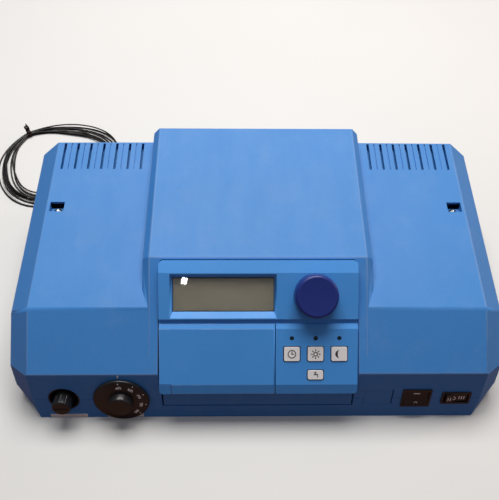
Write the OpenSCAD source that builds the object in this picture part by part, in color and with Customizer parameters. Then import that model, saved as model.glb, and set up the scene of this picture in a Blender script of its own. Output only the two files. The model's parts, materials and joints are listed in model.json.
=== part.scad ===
// Wall-hung heating controller: winged housing, raised hood, tilted operating panel,
// dial thermostat, capped safety limiter, two rocker switches and a coiled sensor lead.
// X runs to the right, Y to the rear and Z up; the origin is the middle of the base.

/* [Housing] */
// Overall width across both wings
body_w = 455; // [440:1:480]
// Depth from the foot of the front face to the rear wall
body_d = 257; // [250:1:270]
// Height of the raised hood at its rear edge
hood_h = 125; // [121:1:130]
// Height of the wings at their rear edge
wing_h = 104.5; // [102:0.5:108]
// Depth from the rear wall to the crease of the wings
crease_d = 188; // [184:1:192]
// Distance from the panel to each side of the hood
hood_margin = 16.45; // [14:0.05:19]
// Wall thickness of the cover
wall = 2.6; // [2:0.1:3.2]
// Width of the bevel that runs along each wing
bevel_w = 21.5; // [18:0.5:24]
// Drop of that bevel
bevel_h = 19.5; // [16:0.5:22]
// Width of the bevel along the hood
hood_bevel_w = 6.9; // [5:0.1:9]
// Drop of the hood's bevel
hood_bevel_h = 8; // [5:0.5:10]
// Radius that rounds the crease of the wings
crease_r = 9; // [4:1:14]
// Height of the joint between cover and base
parting_z = 24; // [23:0.5:26]
// Height at which the sides of the base turn inwards
base_bevel_z = 16; // [10:1:18]
// How far the sides of the base come in at the bottom
base_taper = 17.5; // [12:0.5:20]
// Thickness of the base floor
floor_t = 3; // [2.4:0.2:4]

/* [Angles] */
// Slope of the top faces
top_tilt = 6; // [4:0.5:8]
// Slope of the front facet
front_tilt = 32; // [30:0.5:34]
// Lean of the front face
fascia_lean = 20; // [17:0.5:22]
// Slope of the operating panel
panel_tilt = 38; // [36:0.5:40]

/* [Operating panel] */
// Width of the panel
panel_w = 177.5; // [175:0.5:180]
// Length of the panel down its slope
panel_l = 120; // [118:0.5:122]
// Depth of the panel housing behind its face
panel_t = 20; // [18:0.5:22]
// Distance of the panel's lower edge behind the foot of the front face
panel_back = 5.8; // [4:0.2:8]
// Height of the panel's lower edge
panel_low_z = 41; // [39:0.5:44]
// Width of the opening over the display
lcd_w = 94.7; // [88:0.1:98]
// Height of the opening over the display
lcd_h = 39.6; // [34:0.1:40]
// Diameter of the rotary knob
knob_d = 39; // [34:0.5:42]
// Height of the rotary knob
knob_h = 14; // [10:0.5:18]
// Width of the flap
flap_w = 103.3; // [98:0.1:104]
// Thickness of the flap
flap_t = 2.2; // [1.8:0.1:2.6]
// Width of a mode key
key_w = 14; // [12:0.5:15]
// Height of a mode key
key_h = 12.6; // [11:0.1:13]
// Travel of every key
key_travel = 1; // [0.6:0.1:1.4]

/* [Controls on the front face] */
// Diameter of the thermostat dial
dial_d = 51; // [46:0.5:54]
// Height of the thermostat's grip
grip_h = 11.5; // [9:0.5:15]
// Diameter of the limiter's recess
limiter_d = 28; // [25:0.5:30]
// Diameter of the limiter's screw cap
cap_d = 17; // [14:0.5:18]
// Height that the screw cap stands out
cap_h = 11.5; // [9:0.5:14]
// Width of a rocker switch frame
switch_w = 26.8; // [25:0.1:28]
// Height of the power switch frame
power_h = 22.4; // [20:0.1:24]
// Height of the mode switch frame
mode_h = 15; // [13:0.1:16]

/* [Ventilation] */
// Number of slots in each wing
slot_count = 7; // [5:1:7]
// Distance from slot to slot
slot_pitch = 13.4; // [12:0.1:13.6]
// Width of a slot
slot_w = 2.6; // [2:0.1:4]
// Length of a slot
slot_l = 33; // [28:1:38]

/* [Sensor lead] */
// Diameter of the sensor lead
cord_d = 1.8; // [1.6:0.1:2.4]
// Width of the coil's bundle
coil_w = 24; // [20:1:28]
// Height of the coil's bundle
coil_h = 9; // [7:0.5:12]

/* [Hidden] */

$fn = 48;
gap = 0.3;
eps = 0.01;
half_w = body_w / 2;
rear_y = body_d / 2;
front_y = -body_d / 2;
core_w = half_w - bevel_w;
hood_half = panel_w / 2 + hood_margin;
hood_core = hood_half - hood_bevel_w;

// Directions and outward normals of the sloping faces, as [y, z].
top_dir = [-cos(top_tilt), -sin(top_tilt)];
top_out = [-sin(top_tilt), cos(top_tilt)];
front_dir = [-cos(front_tilt), -sin(front_tilt)];
front_out = [-sin(front_tilt), cos(front_tilt)];
fascia_dir = [-sin(fascia_lean), -cos(fascia_lean)];
fascia_out = [-cos(fascia_lean), sin(fascia_lean)];
foot = [front_y, 0];
crease_0 = [rear_y - crease_d, wing_h - crease_d * tan(top_tilt)];

// Where the line through p along u meets the line through q along v.
function meet(p, u, q, v) = p + u * cross(q - p, v) / cross(u, v);
function crease(i) = meet([rear_y, wing_h] - i * top_out, top_dir, crease_0 - i * front_out, front_dir);
function brow(i) = meet(crease_0 - i * front_out, front_dir, foot - i * fascia_out, fascia_dir);
function fascia_y(z, i) = meet(foot - i * fascia_out, fascia_dir, [0, z], [1, 0])[0];
function roof_z(h, y, i) = meet([rear_y, h] - i * top_out, top_dir, [y, 0], [0, 1])[1];
function hood_crease(i) = meet([rear_y, hood_h] - i * top_out, top_dir, crease_0 - i * front_out, front_dir);
function front_y_at(z, i) = meet(crease_0 - i * front_out, front_dir, [0, z], [1, 0])[0];

function crease_arc(i) = [for (a = [top_tilt : (front_tilt - top_tilt) / 4 : front_tilt])
    crease(i + crease_r) + crease_r * [-sin(a), cos(a)]];
function wing_profile(i, low, rear) = concat([[rear, low], [rear, roof_z(wing_h, rear, i)]],
    crease_arc(i), [brow(i), [fascia_y(low, i), low]]);
hood_foot_z = 62;
function hood_profile(i, low, rear) = [[rear, low], [rear, roof_z(hood_h, rear, i)],
    hood_crease(i), [front_y_at(hood_foot_z, i), hood_foot_z], [front_y_at(hood_foot_z, i), low]];
function at_x(x, profile) = [for (p = profile) [x, p[0], p[1]]];
function at_z(z, outline) = [for (p = outline) [p[0], p[1], z]];

// Solid through a row of rings with equal counts of points.
module loft(rings) {
    n = len(rings[0]);
    last = len(rings) - 1;
    polyhedron(points = [for (r = rings) each r], faces = concat(
        [[for (k = [0 : n - 1]) k]],
        [[for (k = [n - 1 : -1 : 0]) last * n + k]],
        [for (j = [0 : last - 1], k = [0 : n - 1])
            [j * n + k, (j + 1) * n + k, (j + 1) * n + (k + 1) % n, j * n + (k + 1) % n]]));
}

// How far a wall of thickness t moves the two edges of a bevel.
function bevel_in(t, w, h) = t * tan(atan(h / w) / 2);
function bevel_down(t, w, h) = t * tan((90 - atan(h / w)) / 2);

module wing_solid(t, low, rear) {
    side = half_w - t;
    core = core_w - bevel_in(t, bevel_w, bevel_h);
    drop = bevel_h + bevel_down(t, bevel_w, bevel_h);
    loft([at_x(-side, wing_profile(t > 0 ? drop : bevel_h, low, rear)),
        at_x(-core, wing_profile(t, low, rear)),
        at_x(core, wing_profile(t, low, rear)),
        at_x(side, wing_profile(t > 0 ? drop : bevel_h, low, rear))]);
}

module hood_solid(t, low, rear) {
    side = hood_half - t;
    core = hood_core - bevel_in(t, hood_bevel_w, hood_bevel_h);
    drop = hood_bevel_h + (t > 0 ? bevel_down(t, hood_bevel_w, hood_bevel_h) : 0);
    loft([at_x(-side, hood_profile(drop, low, rear)),
        at_x(-core, hood_profile(t, low, rear)),
        at_x(core, hood_profile(t, low, rear)),
        at_x(side, hood_profile(drop, low, rear))]);
}

// Places children on the front face: x to the right, y up the face, z out of it.
module on_fascia(x, down) {
    translate([x, brow(0)[0], brow(0)[1]]) rotate([90 - fascia_lean, 0, 0]) translate([0, -down, 0])
        children();
}

// Distance down the front face from its upper edge to a height.
function down_at(z) = (brow(0)[1] - z) / cos(fascia_lean);

// Places children on the panel: x to the right, y up the slope, z out of its face.
panel_front = [front_y + panel_back, panel_low_z];
panel_head = panel_front + panel_l * [cos(panel_tilt), sin(panel_tilt)];
module on_panel(x, down) {
    translate([x, panel_head[0], panel_head[1]]) rotate([panel_tilt, 0, 0]) translate([0, -down, 0])
        children();
}

// Places children on a wing's top face, d forward of the rear edge.
module on_wing(x, d) {
    translate([x, rear_y, wing_h]) rotate([top_tilt, 0, 0]) translate([0, -d, 0]) children();
}

module box_at(x, y, z, w, l, h) {
    translate([x - w / 2, y - l / 2, z]) cube([w, l, h]);
}

module rounded_plate(w, l, h, r) {
    linear_extrude(height = h) {
        square([w - 2 * r, l], center = true);
        square([w, l - 2 * r], center = true);
        for (sx = [-1, 1], sy = [-1, 1])
            translate([sx * (w / 2 - r), sy * (l / 2 - r)]) circle(r = r);
    }
}

// ---- Places of the controls on the front face ----
dial_x = -panel_w / 2 - 36.25;
dial_down = 31;
limiter_x = dial_x - 53;
limiter_down = 32;
blank_w = 26.6;
blank_l = 20;
blank_x = panel_w / 2 + 22.65;
blank_down = 31;
blank_slot = 0.9;
power_x = blank_x + 35;
mode_x = power_x + 36.9;
switch_down = 31.5;
lip_w = panel_w - 3.5;
lip_low_z = 15.3;
lip_high_z = 30;
lip_side_gap = 1.4;
lip_low_gap = 0.8;
opening_gap = 0.8;
opening_w = panel_w + 2 * opening_gap;
dial_hole_d = 14;
frame_lip = 1.5;
frame_proud = 1.3;

// Holes that pass through the front face of both cover and base.
module fascia_holes() {
    on_fascia(power_x, switch_down) box_at(0, 0, -20, switch_w - 2 * frame_lip,
        power_h - 2 * frame_lip, 30);
    on_fascia(mode_x, switch_down) box_at(0, 0, -20, switch_w - 2 * frame_lip,
        mode_h - 2 * frame_lip, 30);
    on_fascia(blank_x, blank_down) box_at(0, 0, -20, blank_w, blank_l, 30);
    lip_top = down_at(parting_z + 13);
    lip_bottom = down_at(lip_low_z) + lip_low_gap;
    on_fascia(0, (lip_top + lip_bottom) / 2) box_at(0, 0, -8, lip_w + 2 * lip_side_gap,
        lip_bottom - lip_top, 20);
    on_fascia(dial_x, dial_down) translate([0, 0, -20]) cylinder(d = dial_hole_d, h = 30);
    on_fascia(limiter_x, limiter_down) translate([0, 0, -20]) cylinder(d = limiter_d + 2 * gap, h = 30);
}

// ---- Vents, screws and rear openings ----
vent_first = hood_half + 12.8;
vent_step = 1.2;
vent_groove_w = 1.2;
vent_rear = 1.6;
screw_x = half_w - 31.5;
screw_d_rear = 80;
window_w = 14;
window_l = 11;
screw_head_d = 9;
screw_d = 4;
screw_front = 2.6;
screw_seat_z = 89.4;
screw_y = rear_y - screw_d_rear - screw_front;
well_y = rear_y - screw_d_rear;

module vents(side) {
    for (k = [0 : slot_count - 1]) {
        x = side * (vent_first + k * slot_pitch);
        on_wing(x, vent_rear + slot_l / 2) box_at(0, 0, -30, slot_w, slot_l, 40);
        if (k < slot_count - 1)
            on_wing(x + side * slot_pitch / 2, vent_rear + slot_l / 2)
                box_at(0, 0, -vent_step, vent_groove_w, slot_l, 10);
    }
}

module panel_pocket() {
    on_panel(0, panel_l / 2) translate([0, 0, -panel_t - 6]) {
        rounded_plate(opening_w, panel_l + 2 * opening_gap, panel_t + 36, corner_r + opening_gap);
        box_at(0, -panel_l / 4, 0, opening_w, panel_l / 2 + 4 * opening_gap, panel_t + 36);
    }
}

// The well over each cover screw: its floor is what the screw clamps. It reaches further
// forward than the window above it and is open behind the screw.
shelf_l = 5.5;
well_l = window_l + screw_front + 2;
module screw_well(side, low, grow) {
    box_at(side * screw_x, well_y - (well_l - window_l) / 2, low, window_w + 2 * grow, well_l + 2 * grow,
        wing_h - low);
}

module upper_cover() {
    color("cornflowerblue") difference() {
        union() {
            difference() {
                union() {
                    wing_solid(0, parting_z, rear_y);
                    hood_solid(0, hood_foot_z - 20, rear_y);
                }
                wing_solid(wall, parting_z - 1, rear_y + 1);
                hood_solid(wall, hood_foot_z - 21, rear_y + 1);
            }
            intersection() {
                for (side = [-1, 1]) screw_well(side, screw_seat_z - wall, wall);
                wing_solid(wall - eps, parting_z - 1, rear_y);
            }
            for (side = [-1, 1], y = rib_places) cover_rib(side, y);
            for (x = hook_places) lip_hook(x, 0);
        }
        for (side = [-1, 1]) {
            vents(side);
            box_at(side * screw_x, well_y, screw_seat_z, window_w, window_l, wing_h);
            intersection() {
                union() {
                    screw_well(side, screw_seat_z, 0);
                    box_at(side * screw_x, screw_y + shelf_l + window_l, parting_z, window_w + 3 * wall,
                        2 * window_l, wing_h);
                }
                wing_solid(wall, parting_z, rear_y);
            }
            translate([side * screw_x, screw_y, screw_seat_z - 2 * wall])
                cylinder(d = screw_d + 2 * gap, h = 4 * wall);
        }
        panel_pocket();
        fascia_holes();
    }
}

// Stiffening rib under a wing, stopped short of the base.
rib_t = 1.6;
rib_deep = 6;
rib_places = [-40, 10];
module cover_rib(side, y) {
    x = side * (hood_half + 40);
    intersection() {
        box_at(x, y, parting_z + 1, 60, rib_t, wing_h);
        difference() {
            wing_solid(wall - eps, parting_z - 1, rear_y - 1);
            translate([0, 0, -rib_deep]) wing_solid(wall, parting_z - 1, rear_y + 2);
        }
    }
}

// Hooks behind the front face that reach inside the base.
hook_t = 1.6;
hook_w = 12;
hook_h = 5;
hook_places = [-96, 165];
module lip_hook(x, grow) {
    translate([x - hook_w / 2 - grow, fascia_y(parting_z, wall) - 1 - grow, parting_z - hook_h - grow])
        cube([hook_w + 2 * grow, hook_t + 2 * grow, hook_h + 4]);
}

// ---- Base ----
function base_outline(z, t) =
    let (taper = z < base_bevel_z ? base_taper * (1 - z / base_bevel_z) : 0,
        x1 = half_w - taper - t,
        front = fascia_y(z, t),
        back = fascia_y(z, t) + bevel_h / cos(fascia_lean) * (1 - taper / base_taper * 0.6),
        x0 = core_w - bevel_in(t, bevel_w, bevel_h) - taper / base_taper * 2.5)
    [[-x0, front], [x0, front], [x1, back], [x1, rear_y - t], [-x1, rear_y - t], [-x1, back]];

module base_solid(t, low, top) {
    loft([at_z(low, base_outline(low, t)), at_z(base_bevel_z, base_outline(base_bevel_z, t)),
        at_z(top, base_outline(top, t))]);
}

seam = 0.6;
cable_x = -half_w + 77.5;
cable_w = 30;
cable_z = 5;
boss_d = 9;
fix_x = half_w - 37.5;
fix_y = rear_y - 43.5;
fix_r = 2.6;
stand_h = 9;
board_w = 250;
board_l = 116;
board_y = 26;
board_t = 1.6;
board_hole_x = board_w / 2 - 7;
board_hole_y = board_l / 2 - 7;
screw_post_d = 9;

module base_tray() {
    color("cornflowerblue") difference() {
        union() {
            difference() {
                base_solid(0, 0, parting_z - seam);
                base_solid(wall, floor_t, parting_z + 1);
            }
            for (side = [-1, 1])
                translate([side * screw_x, screw_y, floor_t - eps])
                    cylinder(d = screw_post_d, h = screw_seat_z - wall - gap - floor_t);
            for (sx = [-1, 1], sy = [-1, 1]) {
                translate([sx * fix_x, sy * fix_y, floor_t - eps]) cylinder(d = boss_d + 3, h = 3);
                translate([sx * board_hole_x, board_y + sy * board_hole_y, floor_t - eps])
                    cylinder(d = boss_d, h = stand_h - floor_t);
            }
            for (sx = [-1, 1])
                translate([cable_x + sx * clamp_x, clamp_y, floor_t - eps])
                    cylinder(d = boss_d, h = clamp_z - floor_t);
        }
        for (side = [-1, 1])
            translate([side * screw_x, screw_y, 30]) cylinder(d = screw_d, h = 80);
        for (sx = [-1, 1], sy = [-1, 1]) {
            translate([sx * fix_x, sy * fix_y, -1]) cylinder(r = fix_r, h = 20);
            translate([sx * board_hole_x, board_y + sy * board_hole_y, floor_t + 1])
                cylinder(d = 2.6, h = 20);
        }
        for (sx = [-1, 1])
            translate([cable_x + sx * clamp_x, clamp_y, floor_t + 1]) cylinder(d = 2.6, h = 20);
        translate([cable_x - cable_w / 2, rear_y - wall - 1, cable_z]) cube([cable_w, wall + 2, 40]);
        fascia_holes();
        for (x = hook_places) lip_hook(x, gap);
    }
}

// Rear wall: stands on the base's rear wall and closes the open rear of the cover.
back_t = 1.8;
back_in = 0.4;
knock_d = 16;
knock_places = [90, 120, 150, 180];
comb_pitch = 26;
comb_w = 3;
comb_l = 18;
module back_wall() {
    outer_y = rear_y - back_in;
    color("royalblue") difference() {
        intersection() {
            translate([-half_w, outer_y - back_t, parting_z]) cube([body_w, back_t, hood_h]);
            union() {
                wing_solid(wall + gap, parting_z, rear_y + 1);
                hood_solid(wall + gap, hood_foot_z - 21, rear_y + 1);
            }
        }
        for (k = [-3 : 3])
            translate([k * comb_pitch, rear_y + 1, wing_h - 26.5]) rotate([90, 0, 0])
                linear_extrude(height = 12) {
                    square([comb_w, comb_l], center = true);
                    for (end = [-1, 1]) translate([0, end * comb_l / 2]) circle(d = comb_w, $fn = 16);
                }
        for (x = knock_places)
            translate([x, outer_y - 0.8, parting_z + knock_d + 2]) rotate([-90, 0, 0]) difference() {
                cylinder(d = knock_d, h = 2);
                translate([0, 0, -1]) cylinder(d = knock_d - 2, h = 4);
            }
    }
}

screw_l = 18;
module cover_screws() {
    color("silver") for (side = [-1, 1])
        translate([side * screw_x, screw_y, screw_seat_z]) {
            difference() {
                intersection() {
                    cylinder(d = screw_head_d, h = 3);
                    translate([0, 0, -2.8]) sphere(d = 11.6);
                }
                box_at(0, 0, 1.8, 1.2, screw_head_d, 3);
                box_at(0, 0, 1.8, screw_head_d, 1.2, 3);
            }
            translate([0, 0, -screw_l]) cylinder(d = screw_d - 0.1, h = screw_l + eps);
        }
}

// ---- Operating panel ----
top_bevel_l = 10.6;
top_bevel_drop = 3.2;
groove_at = 52;
groove_l = 4.2;
groove_deep = 2.6;
low_bevel_l = 4.5;
low_bevel_drop = 1.6;
chin_at = 111;
chin_drop = 2.6;
lower_at = groove_at + groove_l;
panel_wall = 2;
face_t = 2.8;
block_t = 5;
corner_r = 3;
board_n = 15;

// The panel's front surface from top to bottom, as [down, out].
upper_line = [[0, -top_bevel_drop], [top_bevel_l, 0], [groove_at, 0],
    [groove_at + 0.3, -groove_deep], [lower_at - 0.3, -groove_deep]];
lower_line = [[lower_at, -low_bevel_drop], [lower_at + low_bevel_l, 0], [chin_at, 0],
    [panel_l, -chin_drop]];

// Extrudes an outline of [down, out] points across the panel from x0 to x1.
module across(x0, x1, outline) {
    translate([x0, 0, 0]) rotate([90, 0, 90]) linear_extrude(height = x1 - x0)
        polygon([for (p = outline) [-p[0], p[1]]]);
}
module local_box(x0, x1, s0, s1, n0, n1) {
    translate([x0, -s1, n0]) cube([x1 - x0, s1 - s0, n1 - n0]);
}

lcd_x = -31.4;
lcd_s = 31.3;
lcd_deep = 4.5;
glass_w = 91;
glass_h = 30;
glass_s = 30.6;
glass_t = 1.4;
module_t = 5;
cell_t = 0.6;
knob_x = 50.5;
knob_s = 30.2;
led_s = 69.1;
key_s = 83.2;
key_pitch = 21.2;
key_x = 50.9;
water_w = 13.8;
water_h = 8.1;
water_s = 102.1;
key_gap = 0.9;
key_proud = 0.8;
led_d = 4;
flap_left = -panel_w / 2 + 0.1;
flap_right = flap_left + flap_w;
lip_x = flap_right + 0.7;
hinge_n = 3.6;
hinge_x = lip_x - gap - hinge_n;
knuckle_r = 1.2;
pin_r = 0.6;
edge_round = 1.2;
sweep_r = norm([flap_right - hinge_x - edge_round, hinge_n - edge_round]) + edge_round + 0.25;
bay_x0 = -80;
bay_s0 = 62;
bay_s1 = 109;
bay_deep = 7.5;
lug_l = 4;
lug_places = [66, 103];
notch_w = 11;
notch_l = 9.5;
inner_cols = [-62, -36, -10];
inner_rows = [76, 95];
inner_w = 14;
inner_h = 8;
inner_proud = 3;
post_d = 6;
post_in = 8;
post_places = [post_in, panel_l - post_in];
bush_d = 9;

module at_key(x, s) {
    translate([x, -s, 0]) children();
}
module key_hole(x, s, w, h) {
    at_key(x, s) translate([0, 0, -20]) rounded_plate(w + 2 * key_gap, h + 2 * key_gap, 30, 1.8);
}

module panel_block() {
    intersection() {
        across(-panel_w / 2, panel_w / 2,
            concat(upper_line, lower_line, [[panel_l, -panel_t], [0, -panel_t]]));
        at_key(0, panel_l / 2) translate([0, 0, -panel_t - 1])
            rounded_plate(panel_w, panel_l, panel_t + 2, corner_r);
    }
}

module panel_housing() {
    color("dodgerblue") on_panel(0, 0) {
        difference() {
            union() {
                difference() {
                    panel_block();
                    panel_cavity();
                }
                for (sx = [-1, 1], s = post_places)
                    at_key(sx * (panel_w / 2 - post_in), s) translate([0, 0, -board_n])
                        cylinder(d = post_d, h = board_n - 2);
            }
            flap_space();
            display_opening();
            at_key(knob_x, knob_s) translate([0, 0, -10]) cylinder(d = bush_d + 2 * gap, h = 20);
            for (k = [-1, 0, 1]) {
                key_hole(key_x + k * key_pitch, key_s, key_w, key_h);
                at_key(key_x + k * key_pitch, led_s) translate([0, 0, -10]) cylinder(d = led_d, h = 20);
            }
            key_hole(key_x, water_s, water_w, water_h);
        }
        for (s = lug_places) hinge_lug(s);
        intersection() {
            panel_block();
            local_box(-panel_w / 2, flap_left + notch_w - 2 * gap, panel_l - notch_l + 2 * gap, panel_l,
                -flap_t - 2, 5);
        }
    }
}

// Hollow behind the panel's face, shallower behind the display and the bay.
module panel_cavity() {
    inside = panel_w / 2 - panel_wall;
    local_box(-inside, inside, panel_wall, lower_at + 3, -panel_t - 1, -block_t - 2.5);
    local_box(lip_x + 3.4, inside, lower_at + 3 - eps, panel_l - panel_wall, -panel_t - 1, -face_t);
    local_box(-inside, lip_x + 3.5, lower_at + 3 - eps, panel_l - panel_wall, -panel_t - 1,
        -bay_deep - 2);
    local_box(lip_x + 3.4, inside, panel_wall, lower_at + 3, -panel_t - 1, -block_t);
    translate([lcd_x, -glass_s, -panel_t]) box_at(0, 0, 0, glass_w + 5, glass_h + 5, panel_t - lcd_deep);
}

module display_opening() {
    hull() {
        at_key(lcd_x, lcd_s) box_at(0, 0, 0, lcd_w, lcd_h, 2);
        at_key(lcd_x, glass_s) box_at(0, 0.6, -lcd_deep - 1, glass_w - 1, glass_h - 1, 1);
    }
}

// Room for the flap, the bay under it and the sweep of its hinged edge.
module flap_space() {
    across(-panel_w, flap_right + gap, concat([[lower_at - eps, 5]],
        [for (p = lower_line) [p[0], p[1] - flap_t - gap]], [[panel_l + 2, -chin_drop - flap_t - gap],
        [panel_l + 2, 5]]));
    across(flap_right + gap - eps, lip_x, [[lower_at - eps, 5], [lower_at - eps, -hinge_n],
        [panel_l + 2, -hinge_n], [panel_l + 2, 5]]);
    local_box(bay_x0, hinge_x, bay_s0, bay_s1, -bay_deep, 1);
    translate([hinge_x, -lower_at, -hinge_n]) rotate([90, 0, 0])
        cylinder(r = sweep_r, h = panel_l - lower_at + 1);
    for (x = inner_cols, s = inner_rows) key_hole(x, s, inner_w, inner_h);
}

// Lug in the bay that carries a hinge pin.
module hinge_lug(s) {
    difference() {
        union() {
            translate([hinge_x, -s, -hinge_n]) rotate([90, 0, 0]) cylinder(r = knuckle_r, h = lug_l);
            local_box(hinge_x - knuckle_r, hinge_x + knuckle_r, s, s + lug_l, -bay_deep - 1.5, -hinge_n);
        }
        translate([hinge_x, 1 - s, -hinge_n]) rotate([90, 0, 0]) cylinder(r = pin_r, h = lug_l + 2);
    }
}

module flap() {
    top = lower_at + 0.2;
    low = panel_l - 0.1;
    outer = concat([[top, -low_bevel_drop]], [for (k = [1 : 3]) lower_line[k]]);
    inner = [for (k = [3 : -1 : 0]) [outer[k][0], outer[k][1] - flap_t]];
    color("dodgerblue") on_panel(0, 0) difference() {
        union() {
            intersection() {
                across(flap_left, flap_right, concat(outer, inner));
                union() {
                    local_box(flap_left, flap_right - edge_round, 0, panel_l, -10, 5);
                    translate([flap_right - edge_round, 0, -edge_round]) rotate([90, 0, 0])
                        cylinder(r = edge_round, h = panel_l);
                    local_box(flap_left, flap_right, 0, panel_l, -10, -edge_round);
                }
            }
            for (s = lug_places) {
                translate([hinge_x, -s - lug_l - gap, -hinge_n]) rotate([90, 0, 0])
                    cylinder(r = knuckle_r, h = lug_l);
                local_box(hinge_x - knuckle_r, hinge_x + knuckle_r, s + lug_l + gap, s + 2 * lug_l + gap,
                    -hinge_n, -flap_t + 0.4);
            }
            local_box(bay_x0 + 2, bay_x0 + 4, bay_s0 + 6, bay_s1 - 6, -flap_t - 1.2, -1);
        }
        local_box(flap_left - 1, flap_left + notch_w, panel_l - notch_l, panel_l + 1, -10, 5);
        for (s = lug_places)
            translate([hinge_x, -s - lug_l, -hinge_n]) rotate([90, 0, 0])
                cylinder(r = pin_r + 0.05, h = lug_l + 2);
    }
}

module flap_hinge_pins() {
    color("silver") on_panel(0, 0) for (s = lug_places)
        translate([hinge_x, -s - gap, -hinge_n]) rotate([90, 0, 0]) cylinder(r = pin_r, h = 2 * lug_l);
}

module display_window() {
    color("darkkhaki") on_panel(lcd_x, glass_s)
        box_at(0, 0, -lcd_deep - glass_t, glass_w + 4.4, glass_h + 4.4, glass_t);
}

module display_module() {
    low = board_n - lcd_deep - glass_t;
    color("gray") on_panel(lcd_x, glass_s) {
        difference() {
            box_at(0, 0, -lcd_deep - glass_t - module_t, glass_w + 4, glass_h + 4, module_t);
            box_at(0, 0, -lcd_deep - glass_t - cell_t, glass_w - 0.6, glass_h - 0.6, 1);
        }
        for (sx = [-1, 1], sy = [-1, 1])
            translate([sx * (glass_w / 2 - 3), sy * (glass_h / 2 - 3), -board_n])
                cylinder(d = 3, h = low - module_t + eps);
    }
}

module key_board() {
    inside = panel_w / 2 - panel_wall - gap;
    color("darkgreen") on_panel(0, 0) difference() {
        local_box(-inside, inside, panel_wall + gap, panel_l - panel_wall - gap, -board_n - board_t,
            -board_n);
        for (sx = [-1, 1], s = post_places)
            at_key(sx * (panel_w / 2 - post_in), s) translate([0, 0, -board_n - 2]) cylinder(d = 3, h = 9);
    }
}

switch_top = 11.9;
module tact_switch(x, s) {
    translate([x, -s, -board_n]) {
        box_at(0, 0, 0, 6, 6, board_n - switch_top - 0.6);
        cylinder(d = 3, h = board_n - switch_top, $fn = 24);
    }
}
module tact_switches() {
    color("black") on_panel(0, 0) {
        for (k = [-1, 0, 1]) tact_switch(key_x + k * key_pitch, key_s);
        tact_switch(key_x, water_s);
        for (x = inner_cols, s = inner_rows) tact_switch(x, s);
    }
}

module led_lenses() {
    color("darkslategray") on_panel(0, 0) for (k = [-1, 0, 1]) at_key(key_x + k * key_pitch, led_s) {
        translate([0, 0, -board_n]) cylinder(d = 3, h = board_n - 0.6, $fn = 24);
        translate([0, 0, -face_t - 1.3]) cylinder(d = 5, h = 1, $fn = 24);
    }
}

knob_lift = 0.6;
knob_stem_r = 3;
knob_edge = 2.8;
module rotary_knob() {
    r = knob_d / 2;
    color("midnightblue") on_panel(knob_x, knob_s)
        rotate_extrude($fn = 96) polygon(concat([[0, 2 - board_n], [knob_stem_r, 2 - board_n],
            [knob_stem_r, knob_lift], [r - 1, knob_lift], [r, knob_lift + 1]],
            [for (a = [0 : 15 : 90]) knob_edge * [cos(a) - 1, sin(a) - 1] + [r - 0.4, knob_h]],
            [[r - knob_edge - 3, knob_h - 0.3], [0, knob_h - 0.8]]));
}

module knob_encoder() {
    color("silver") on_panel(knob_x, knob_s) difference() {
        union() {
            box_at(0, 0, -board_n, 14, 14, 6);
            translate([0, 0, -board_n]) cylinder(d = bush_d, h = board_n - 1);
        }
        translate([0, 0, 1 - board_n]) cylinder(r = knob_stem_r + 0.06, h = board_n + 2);
    }
}

// A key: the cap, a flange that holds it behind the face, and a stem down to its switch.
module push_key(x, s, w, h, top, plate) {
    on_panel(x, s) {
        translate([0, 0, plate - gap - 1]) rounded_plate(w, h, top - plate + gap + 1, 1.4);
        box_at(0, 0, plate - gap - 0.8, w + 2 * key_gap + 1.6, h + 2 * key_gap + 1.6, 0.8);
        translate([0, 0, key_travel - switch_top + 0.3])
            cylinder(d = 4, h = plate + switch_top - key_travel - gap - 0.3, $fn = 24);
    }
}
module mode_key(k) {
    color("ivory") push_key(key_x + k * key_pitch, key_s, key_w, key_h, key_proud, -face_t);
}
module key_auto() { mode_key(-1); }
module key_day() { mode_key(0); }
module key_night() { mode_key(1); }
module key_water() {
    color("ivory") push_key(key_x, water_s, water_w, water_h, key_proud, -face_t);
}
module inner_key(n) {
    color("lightgray") push_key(inner_cols[(n - 1) % 3], inner_rows[floor((n - 1) / 3)], inner_w, inner_h,
        inner_proud - bay_deep, -bay_deep - 2);
}
module inner_key_1() { inner_key(1); }
module inner_key_2() { inner_key(2); }
module inner_key_3() { inner_key(3); }
module inner_key_4() { inner_key(4); }
module inner_key_5() { inner_key(5); }
module inner_key_6() { inner_key(6); }

// Cradle under the panel, with the lip that closes the front face below it.
cradle_t = 2.4;
cradle_leg = 12;
cradle_leg_x = 60;
cradle_leg_back = 66;
cradle_window = [40, 20, 96];
lip_back = 0.4;
module panel_cradle() {
    under = panel_t + gap;
    sole = panel_front + (under + cradle_t) * [sin(panel_tilt), -cos(panel_tilt)];
    shelf_z = sole[1] - cradle_t + 0.6;
    shelf_y = fascia_y(shelf_z, lip_back + cradle_t / 2);
    color("steelblue") difference() {
        union() {
            on_panel(0, 0)
                local_box(2 - panel_w / 2, panel_w / 2 - 2, 4, panel_l, -under - cradle_t, -under);
            on_fascia(0, 0) local_box(-lip_w / 2, lip_w / 2, down_at(lip_high_z), down_at(lip_low_z),
                -cradle_t - lip_back, -lip_back);
            translate([-lip_w / 2, shelf_y, shelf_z]) cube([lip_w, sole[0] - shelf_y + 1, cradle_t]);
            for (x = [-1, 1]) intersection() {
                box_at(x * cradle_leg_x, front_y + cradle_leg_back, floor_t, cradle_leg, cradle_leg, hood_h);
                on_panel(0, 0)
                    local_box(-panel_w, panel_w, -40, panel_l + 40, -2 * hood_h, -under - cradle_t + eps);
            }
        }
        on_panel(0, 0) local_box(-cradle_window[0], cradle_window[0], cradle_window[1], cradle_window[2],
            -under - cradle_t - 1, 0);
    }
}

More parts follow.
